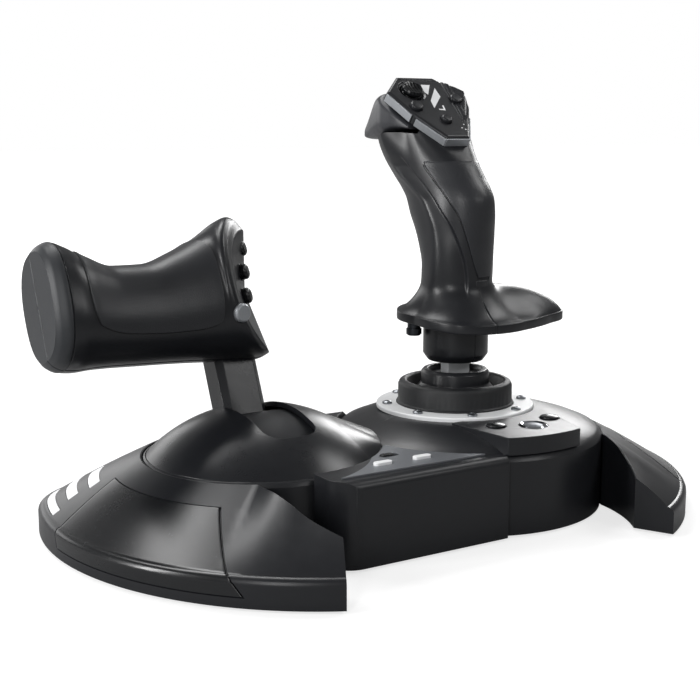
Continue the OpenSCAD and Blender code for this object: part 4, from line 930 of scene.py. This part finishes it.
# %% [markdown]
# ## The head
# A tilted eight-sided plate carries the thumb controls. Its face has a raised right side, a dish
# round the hat and fine grooves, so it is drawn as a height over the plane of the plate. The
# hat and the keys are exact in the engineering model, so they get round edges.

# %% Head parts
HAT_R = 6.4
HEAD_KEYS = np.array([[-12.5, 24, 3.5], [14.5, 30, 3.5], [0, 14, 3.1], [HAT_U, HAT_V, HAT_R]])
EDGE_INSET = np.array([0.95, 0.95, 0, 0, 0, 0, 0.95, 0.95])
LINES = [((13.9, 47.5), (9.2, 13.0)), ((15.2, 46.2), (10.5, 13.8)), ((16.8, 41.5), (21.6, 33.4)),
         ((21.6, 33.4), (13.2, 17.6)), ((13.2, 17.6), (16.8, 41.5)),
         ((-11.5, 47.4), (-9.4, 45.9)), ((-9.4, 45.9), (9.6, 45.6))]


def edge_lines(inset):
    """Outward directions of the plate's eight edges and their distances from its middle."""
    p = HEAD_CORNERS - [0, HEAD_MIDDLE]
    q = np.roll(p, -1, 0)
    n = np.stack([q[:, 1] - p[:, 1], p[:, 0] - q[:, 0]], -1)
    n /= np.linalg.norm(n, axis=1, keepdims=True)
    return n, (n * p).sum(1) - inset


def beside(u, v, a, b):
    """Distance from the points (u, v) to the straight piece between a and b."""
    a, d = np.array(a, float), np.array(b, float) - np.array(a, float)
    t = np.clip(((u - a[0]) * d[0] + (v - a[1]) * d[1]) / (d @ d), 0, 1)
    return np.hypot(u - a[0] - t * d[0], v - a[1] - t * d[1])


def head_height(u, v, edge):
    """Height of the head's face: rounded at its edge, raised towards the right beyond a slanting
    ridge, dished round the hat, and cut by fine straight grooves."""
    ridge = 9.2 + 0.137 * (v - 13.8)
    side = np.interp(v, [0, 17.3, 35.8, 48.8], [7.2, 17.2, 23.4, 10.8])
    lift = 2.0 * np.clip((u - ridge) / np.maximum(side - ridge, 1), 0, 1) * ease((v - 11) / 8)
    w = 0.1 + (0.9 + lift) * (1 - (1 - np.clip(edge / 1.5, 0, 1)) ** 2)
    for a, b in LINES:
        w = w - 0.35 * np.exp(-(beside(u, v, a, b) / 0.3) ** 2)
    return w - 0.8 * (1 - ease((np.hypot(u - HAT_U, v - HAT_V) - HAT_R) / 1.4))


def head_face(steps=120, around=64):
    """Closed head: rings from the middle of the face to its edge, down the side and back below."""
    n, reach = edge_lines(EDGE_INSET)
    pairs = np.stack([np.roll(reach, 1), reach], 1)[..., None]
    corners = np.linalg.solve(np.stack([np.roll(n, 1, 0), n], 1), pairs)[..., 0]
    a = np.unwrap(np.arctan2(corners[:, 1], corners[:, 0]))
    a = knots(np.append(a, a[0] + 2 * np.pi), [around] * 8)[:-1]
    toward = np.stack([np.cos(a), np.sin(a)], -1)
    facing = toward @ n.T
    far = np.min(np.where(facing > 1e-6, reach / np.maximum(facing, 1e-6), 1e9), axis=1)
    t = (1 - (1 - np.linspace(0.004, 1, steps)) ** 1.3)[:, None]
    u, v = t * far * toward[:, 0], t * far * toward[:, 1]
    edge = np.min(reach - (u[..., None] * n[:, 0] + v[..., None] * n[:, 1]), axis=-1)
    top = from_head(u, v + HEAD_MIDDLE, head_height(u, v + HEAD_MIDDLE, edge))
    side = [from_head(u[-1], v[-1] + HEAD_MIDDLE, w) for w in (-0.3, -1.5, -3.0, -4.1)]
    below = [from_head(k * u[-1], k * v[-1] + HEAD_MIDDLE, -4.1) for k in (0.6, 0.2, 0.004)]
    return np.concatenate([top, np.array(side + below)]) + TO_STICK


middle_up = from_head(0, 0, 1) - from_head(0, 0, 0)
holes = [rod("hole", from_head(u, v, -7) + TO_STICK, middle_up, radius=r, length=14)
         for u, v, r in HEAD_KEYS]
head = carve(tube("head_face", head_face(), SKIN_CREASE), *holes)
smooth(head.data, SKIN_CREASE)
wear(head, head_black, "grip", "head_plate", slot="satin_plastic")
dress("hat_cap", 0.15, key_black, "hat", "key_plastic")


def hat_skirt(inner=5.9, outer=6.2, around=96):
    """Spherical band round the hat's pivot, which closes the hole however the hat is tilted. Its
    lower edge is arched over the two pins of the hat's ring."""
    a = np.linspace(0, 2 * np.pi, around, endpoint=False)
    low = 1.5 + 1.0 * np.exp(-(np.cos(a) / 0.4) ** 4)
    rise = mix(low, 2.9, np.linspace(0, 1, 8)[:, None])
    w = np.concatenate([rise, rise[::-1]])
    r = np.sqrt(np.repeat([outer, inner], 8)[:, None] ** 2 - w ** 2)
    return from_head(r * np.cos(a) + HAT_U, r * np.sin(a) + HAT_V, w - 2.6) + TO_STICK


wear(tube("hat_skirt", hat_skirt(), SKIN_CREASE, wrap=True), key_black, "hat", slot="key_plastic")
for node, body in (("head_button_left", "left_head_key"), ("head_button_right", "right_head_key"),
                   ("head_button_rear", "rear_head_key")):
    dress(node, KEY_EDGE, head_black, body, "key_plastic")

# %% [markdown]
# A silver band runs round the rear and the two near sides of the head, in four straight bars
# with a hair gap between them, each along one edge of the plate. White marks are printed on
# the face: two slanted bars, a corner and four dots.

# %% Silver band and white print


def head_prism(outline, low, high):
    """Prism on the head's plane, between the heights low and high."""
    u, v = np.asarray(outline, float).T
    rings = [from_head(u, v, w) + TO_STICK for w in (low, high)]
    return tube("prism", np.array(rings), crease=30)


BAR_WIDTH, HALF_GAP, MITRE = 0.85, 0.25, 1.4
PRINT_LOW, PRINT_HIGH = 0.9, 1.08
bands = []
for k, high in ((6, 0.15), (7, -0.15), (0, 0.15), (1, -0.15)):
    p, q = HEAD_CORNERS[k], HEAD_CORNERS[(k + 1) % 8]
    along = (q - p) / np.linalg.norm(q - p)
    inward = np.array([-along[1], along[0]])
    p, q = p + (MITRE if k == 7 else HALF_GAP) * along, q - (MITRE if k == 6 else HALF_GAP) * along
    inward = BAR_WIDTH * inward
    bands.append(head_prism([p, q, q + inward, p + inward], -BEZEL_H, high))
band = joined("head_band", bands)
rounded(band, 0.2)
wear(band, bezel_metal, "grip", "head_bezel", slot="silver_plastic")

SHAPES = [[(-0.9, 36.4), (0.3, 34.2), (5.5, 42.1), (0.2, 42.3)],
          [(-0.9, 29.3), (-1.9, 23.4), (6.9, 32.7), (7.3, 39.7)],
          [(0.4, 22.1), (3.9, 21.6), (4.8, 25.5), (4.0, 25.7), (3.3, 22.6), (0.5, 22.9)]]
around = np.linspace(0, 360, 20, endpoint=False)
for u, v, size in ((1.6, 17.6, 0.55), (8.6, 10.6, 0.4), (6.0, 8.0, 0.4), (7.6, 6.8, 0.4)):
    SHAPES.append(ringed(around, size, 0)[:, :2] + [u, v])
marks = [head_prism(shape, PRINT_LOW, PRINT_HIGH) for shape in SHAPES]
wear(joined("head_print", marks), white_satin, "grip", slot="white_plastic")

# %% [markdown]
# The trigger is a broad rounded nose under the head. It is a loft: at each place along its
# length, a rounded section whose width, top and bottom follow smooth curves. A slot takes the
# lug of the grip between its cheeks, and a blind bore takes the pin.

# %% Trigger
# Each row of the table is a place y, half the width there, and the heights of top and bottom.
TRIGGER = np.array([
    [16, 18.6, 182.4, 180.4], [20, 20.2, 185.6, 180.2], [24, 21.4, 188.6, 179.8],
    [28, 22, 191.5, 179.2], [34, 22.2, 195.3, 177.9], [40, 21, 198.4, 176.6],
    [44, 19.8, 197.6, 176], [50, 17.6, 193.6, 175.4], [56, 15.2, 188.8, 175.3],
    [62, 12.9, 184.2, 175.3], [66, 11.2, 181.6, 175.6], [69, 9.2, 180, 176.1],
    [70.8, 6.6, 179.1, 176.7], [71.5, 3.4, 178.4, 177.4]])


def trigger_rings(steps=80, around=96):
    """Sections of the trigger: superellipses of exponent 4.2 below and 5 above, squarer than a
    plain ellipse."""
    y = knots(np.array([16, 66, 71.5]), [steps, 24])
    w, top, low = (through(y, TRIGGER[:, [0, k]])[:, None] for k in (1, 2, 3))
    a = np.linspace(0, 2 * np.pi, around, endpoint=False)[None, :]
    c, s = np.cos(a), np.sin(a)
    p = np.where(s > 0, 2 / 5, 2 / 4.2)
    x = w * np.sign(c) * np.abs(c) ** p
    z = (top + low) / 2 + (top - low) / 2 * np.sign(s) * np.abs(s) ** p
    return np.stack([STICK_X + x, y[:, None] + 0 * x, z], -1)


def block(name, low, high):
    """Closed block between two corners, as two square rings."""
    (x0, y0, z0), (x1, y1, z1) = low, high
    rings = [[[x, y0, z0], [x, y1, z0], [x, y1, z1], [x, y0, z1]] for x in (x0, x1)]
    return tube(name, np.array(rings, float))


slot = block("slot", (STICK_X - 4.4, 10, 170), (STICK_X + 4.4, 34.4, 210))
bore = rod("bore", [STICK_X - 10.3, 30, 182], [1, 0, 0], radius=1.55, length=20.6)
trigger = carve(tube("trigger_nose", trigger_rings(), SKIN_CREASE), slot, bore)
smooth(trigger.data, SKIN_CREASE)
wear(trigger, trigger_grey, "trigger_body", "trigger", slot="satin_plastic")

# %% [markdown]
# ## The throttle lever
# A flat arm rises from the dome and carries a handle that is held like a bar. The handle is a
# tube along x whose sections are superellipses. Their size swells at both ends, and the thumb
# end is cut on a slant. The lever leans forward, so its shapes are drawn upright and turned.

# %% Lever shapes
LEAN, PIVOT_Z = np.radians(24.0), 10.0
HANDLE_LEFT, HANDLE_RIGHT, HANDLE_Y, CAP_X = 155.0, 50.0, -11.0, -148.2
SPLIT, SPLIT_ANGLE, SKIN_BACK = 0.28, 1.6, 0.15
# Each row is a place from the left end, the middle's height, half the depth and half the height.
ROWS = np.array([
    [0, 99.5, 20.5, 24], [2.2, 99.3, 23, 26.6], [6, 99, 24.6, 28.2], [11, 97.6, 24.6, 27.4],
    [20, 95, 23, 24.4], [32, 92.3, 22, 21.8], [46, 92, 22, 22], [62, 94.2, 23, 24.8],
    [76, 97.3, 25, 28.7], [88, 100.2, 26.4, 32.4], [97, 101.2, 26.8, 33.8],
    [101, 100.6, 26, 33], [105, 99, 22.6, 30]])


def leaned(p):
    """Turns points of the upright lever to where it rests: round the x axis through the pivot."""
    c, s = np.cos(LEAN), np.sin(LEAN)
    x, y, z = np.moveaxis(p, -1, 0)
    return np.stack([x, y * c + z * s, PIVOT_Z - y * s + z * c], -1)


def handle_point(x, a, out=0.0):
    """Point on the handle: superellipse of exponent 2.35, with the thumb end cut on a slant."""
    x, a, out = np.broadcast_arrays(np.asarray(x, float), a, out)
    zc, hy, hz = (through(x + HANDLE_LEFT, ROWS[:, [0, k]]) for k in (1, 2, 3))
    c, s = np.cos(np.radians(a)), np.sin(np.radians(a))
    p = 2 / 2.35
    slant = 21 * ease((x + HANDLE_RIGHT + 34) / 34) * np.maximum(0, -c) ** 1.2
    return np.stack([x - slant, HANDLE_Y + (hy + out) * np.sign(c) * np.abs(c) ** p,
                     zc + (hz + out) * np.sign(s) * np.abs(s) ** p], -1)


def handle_skin():
    """Grid of the handle's side, a little inside the exact one, with a fine groove where its two
    halves meet and another behind the end cap. Its points crowd at both."""
    stops = [-HANDLE_LEFT, -154, CAP_X - 0.4, CAP_X, CAP_X + 0.4, -60, -52, -HANDLE_RIGHT]
    x = knots(stops, [6, 14, 3, 3, 130, 26, 12])[:, None]
    stops = [90 - SPLIT_ANGLE, 90 + SPLIT_ANGLE, 270 - SPLIT_ANGLE, 270 + SPLIT_ANGLE,
             450 - SPLIT_ANGLE]
    a = knots(stops, [8, 70, 8, 64])[:-1]
    split = np.minimum(np.abs(a - 90), np.abs(a - 270)) * np.radians(1) * 27
    groove = 0.45 * np.exp(-(split / SPLIT) ** 2) + 0.5 * np.exp(-((x - CAP_X) / 0.25) ** 2)
    return handle_point(x, a, -SKIN_BACK - groove)


def closed_end(ring, centre, outward, steps=24, rise=0.0001, seam=0.4):
    """Rows that close a ring towards its centre, with a hair's rise outward (-1 or 1 along x) and
    the groove of the split."""
    rows = []
    for t in np.linspace(0, 1, steps + 1)[1:]:
        p = mix(ring, centre, t)
        groove = seam * np.exp(-((p[:, 1] - HANDLE_Y) / SPLIT) ** 2)
        p[:, 0] += outward * (rise * (1 - (1 - t) ** 2) - groove * min(1, t * 20))
        rows.append(p)
    return np.array(rows)


skin = handle_skin()
left_end = closed_end(skin[0], np.array([-HANDLE_LEFT, HANDLE_Y, ROWS[0, 1]]), -1)[::-1]
right_end = closed_end(skin[-1], skin[-1].mean(0), 1)
whole = np.concatenate([left_end, skin, right_end])
handle = tube("handle_skin", leaned(whole), COPY_CREASE)
print("handle grid:", whole.shape)

# %% [markdown]
# The handle is a shell, so holes are cut for the four thumb keys, the finger key, the rocker
# and the arm. Each hole is a little wider than what stands in it.

# %% Holes in the handle
THUMB_AT = np.array([[-54.5, -16, 119.5], [-57, -18.6, 107.3], [-59.5, -21.2, 95]])
LOWER_AT = np.array([-71.4, -34.2, 83.4])


def turn_z(v, degrees):
    """Direction v turned round the z axis."""
    c, s = np.cos(np.radians(degrees)), np.sin(np.radians(degrees))
    return np.array([v[0] * c - v[1] * s, v[0] * s + v[1] * c, v[2]])


thumb_out = turn_z([1, 0, 0], -43)
lower_out = turn_z([0, -np.sin(np.radians(109)), np.cos(np.radians(109))], 15)
REACH = 8
cutters = [rod("hole", at - REACH * thumb_out, thumb_out, 4.0, 2 * REACH, leaned)
           for at in THUMB_AT]
cutters.append(rod("hole", LOWER_AT - REACH * lower_out, lower_out, 4.6, 2 * REACH, leaned))
cutters.append(rod("finger_hole", [-92, 5, 100], [0, 1, 0], 6.3, 40, leaned))
ROCKER_ROOM = (-139.4, 5, 91.6), (-104.6, 45, 102.4)
ARM_ROOM = (-76.1, -9.1, 50), (-54.9, 9.1, 75)
for low, high in (ROCKER_ROOM, ARM_ROOM):
    cutter = block("hole", low, high)
    points = np.array([v.co for v in cutter.data.vertices]) / MM
    cutter.data.vertices.foreach_set("co", (leaned(points) * MM).ravel())
    cutters.append(cutter)
handle = carve(shell(handle, wall=2.2), *cutters)
smooth(handle.data, COPY_CREASE)
wear(handle, handle_black, "lever", "front_handle_shell", "rear_handle_shell", slot="satin_plastic")
handle.data.materials.append(cap_black)
centres = np.empty(3 * len(handle.data.polygons))
handle.data.polygons.foreach_get("center", centres)
handle.data.polygons.foreach_set("material_index", (centres[0::3] < CAP_X * MM).astype(np.int32))

# %% [markdown]
# A soft palm panel lies over the handle's back and top. It is a patch of the handle's own
# surface, lifted by less than a millimetre, with a rolled border. A dark liner that is a
# little wider lies under it, and shows as the thin joint round it.

# %% Palm panel


def palm_surface(s, t, out, wider=0.0):
    """Patch of the handle with round corners: the factors 1 - 0.1 b^6 and 1 - 0.1 a^6 draw the
    corners of the unit square in. Wider lets the patch run on past its border."""
    a, b = (2 * s - 1) * (1 + wider), (2 * t - 1) * (1 + wider)
    s, t = 0.5 + 0.5 * a * (1 - 0.1 * b ** 6), 0.5 + 0.5 * b * (1 - 0.1 * a ** 6)
    x = mix(-139 - 0.5 * t, -85 + 8 * ease(1.6 * t), s)
    return leaned(handle_point(x, mix(82, 210 + 8 * s, t), out))


palm = soft_patch("palm_rest", palm_surface, 70, 80, proud=0.65, sink=0.1, edge=0.6,
                  size=(60, 75))
wear(palm, palm_coat, "lever", "palm_panel", slot="grip_rubber")
liner = soft_patch("palm_joint", lambda s, t, out: palm_surface(s, t, out, wider=0.014), 70, 80,
                   proud=0.06, sink=-0.6, edge=0.1, size=(60, 75))
wear(liner, joint_black, "lever", slot="grip_rubber")

# %% [markdown]
# The arm, its curved shield and the keys are exact, so they are dressed as the base was.

# %% Arm and keys
dress("throttle_arm", 0.4, dome_black, "lever", "black_plastic")
dress("slot_shield", 0.3, inner_black, "lever", "black_plastic")
LEVER_KEYS = {
    "thumb_button_upper": ("thumb_key_upper", key_black, "key_plastic"),
    "thumb_button_middle": ("thumb_key_middle", key_black, "key_plastic"),
    "thumb_button_third": ("thumb_key_third", key_black, "key_plastic"),
    "thumb_button_lower": ("thumb_key_lower", bezel_metal, "silver_plastic"),
    "finger_button": ("finger_key", key_black, "key_plastic"),
    "rocker": ("rocker_body", key_black, "key_plastic"),
}
for node, (body, finish, slot) in LEVER_KEYS.items():
    dress(node, KEY_EDGE, finish, body, slot)

# %% [markdown]
# ## Studio
# The object stands on a pale floor in a white room, lit by large soft panels. For black
# plastic the light matters most where it is reflected, so long panels draw long highlights.

# %% Floor, room and lights


def panel_light(name, place, aim, size, power):
    """White area lamp of size (wide, high) in metres and power in watts, from place at aim."""
    lamp = bpy.data.lights.new(name, "AREA")
    lamp.shape = "RECTANGLE"
    lamp.size, lamp.size_y = size
    lamp.energy = power
    lit = bpy.data.objects.new(name, lamp)
    lit.location = place
    lit.rotation_euler = (Vector(aim) - Vector(place)).to_track_quat("-Z", "Y").to_euler()
    bpy.context.scene.collection.objects.link(lit)


def white_room(strength, seen):
    """World that lights by strength. The camera and clear parts see it as white, and mirrors see
    only the given share of that."""
    world = bpy.data.worlds.new("room")
    bpy.context.scene.world = world
    world.use_nodes = True
    nodes, links = world.node_tree.nodes, world.node_tree.links
    back = nodes["Background"]
    back.inputs["Color"].default_value = (1, 1, 1, 1)
    path = nodes.new("ShaderNodeLightPath")
    either = nodes.new("ShaderNodeMath")
    either.operation = "ADD"
    either.use_clamp = True
    shown = nodes.new("ShaderNodeMath")
    shown.operation = "MULTIPLY_ADD"
    shown.inputs[1].default_value = seen
    shown.inputs[2].default_value = 0.0
    links.new(path.outputs["Is Glossy Ray"], shown.inputs[0])
    links.new(path.outputs["Is Transmission Ray"], shown.inputs[2])
    links.new(path.outputs["Is Camera Ray"], either.inputs[0])
    links.new(shown.outputs[0], either.inputs[1])
    level = nodes.new("ShaderNodeMapRange")
    level.inputs["To Min"].default_value = strength
    level.inputs["To Max"].default_value = 1.0
    links.new(either.outputs[0], level.inputs["Value"])
    links.new(level.outputs[0], back.inputs["Strength"])


def pale_floor(lift):
    """Wide pale plane. Lift adds white for the camera alone, so it stays bright and keeps the
    shadow; it grows with the distance from the object, where the lamps no longer reach."""
    corners = np.array([[-1, -1, 0], [1, -1, 0], [1, 1, 0], [-1, 1, 0]]) * 9000.0
    floor = new_piece("floor", corners - [0, 0, 0.05], [[0, 1, 2, 3]], tidy=False)
    paint = Paint("pale_floor", Roughness=0.9, Specular_IOR_Level=0.1)
    cloud = paint.noise(400, 2.0)
    seen = paint.node("ShaderNodeLightPath", out="Is Camera Ray")
    away = paint.node("ShaderNodeVectorMath", {"operation": "LENGTH"}, {0: paint.place},
                      out="Value")
    paint.wire(Base_Color=paint.colours(cloud, (0.39, 0.39, 0.39, 1), (0.41, 0.41, 0.41, 1)),
               Emission_Strength=seen * (away.between(0.3, 1.3) * (1.1 - lift) + lift))
    paint.shader.inputs["Emission Color"].default_value = (1, 1, 1, 1)
    floor.data.materials.append(paint.material)


LAMPS = (
    ("top", (-0.1, 0.85, 1.45), (0, 0, 0.05), (1.3, 0.4), 15),
    ("back", (-0.45, 1.6, 0.42), (0, 0, 0.12), (1.6, 0.5), 5),
    ("near_strip", (-1.12, -0.95, 0.72), (-0.05, 0, 0.1), (0.12, 1.1), 8),
    ("left_strip", (-1.5, 0.2, 0.5), (0, 0, 0.1), (0.2, 0.9), 18),
    ("far_right", (1.25, 0.95, 0.62), (0, 0, 0.06), (0.6, 0.4), 8),
    ("right", (1.15, -0.15, 1.25), (0, 0, 0.1), (0.5, 0.5), 6),
    ("front", (0.55, -1.35, 0.95), (0, 0, 0.1), (0.6, 0.4), 4),
)
white_room(strength=0.16, seen=0.03)
pale_floor(lift=0.70)
for lamp in LAMPS:
    panel_light(*lamp)
print("studio ready, lamps:", len(LAMPS))

# %% [markdown]
# ## Camera
# The view is from the front left and a little above, through a long lens, so that the upright
# parts stay upright. Standard colour keeps the plain blacks and whites of a catalogue picture.

# %% Camera
lens = bpy.data.cameras.new("camera")
lens.lens = 64.8
lens.sensor_width = 36.0
camera = bpy.data.objects.new("camera", lens)
camera.location = (-0.3248, -0.4934, 0.1812)
camera.rotation_euler = (np.radians(80), 0, np.radians(-32))
bpy.context.scene.collection.objects.link(camera)
bpy.context.scene.camera = camera
bpy.context.scene.view_settings.view_transform = "Standard"
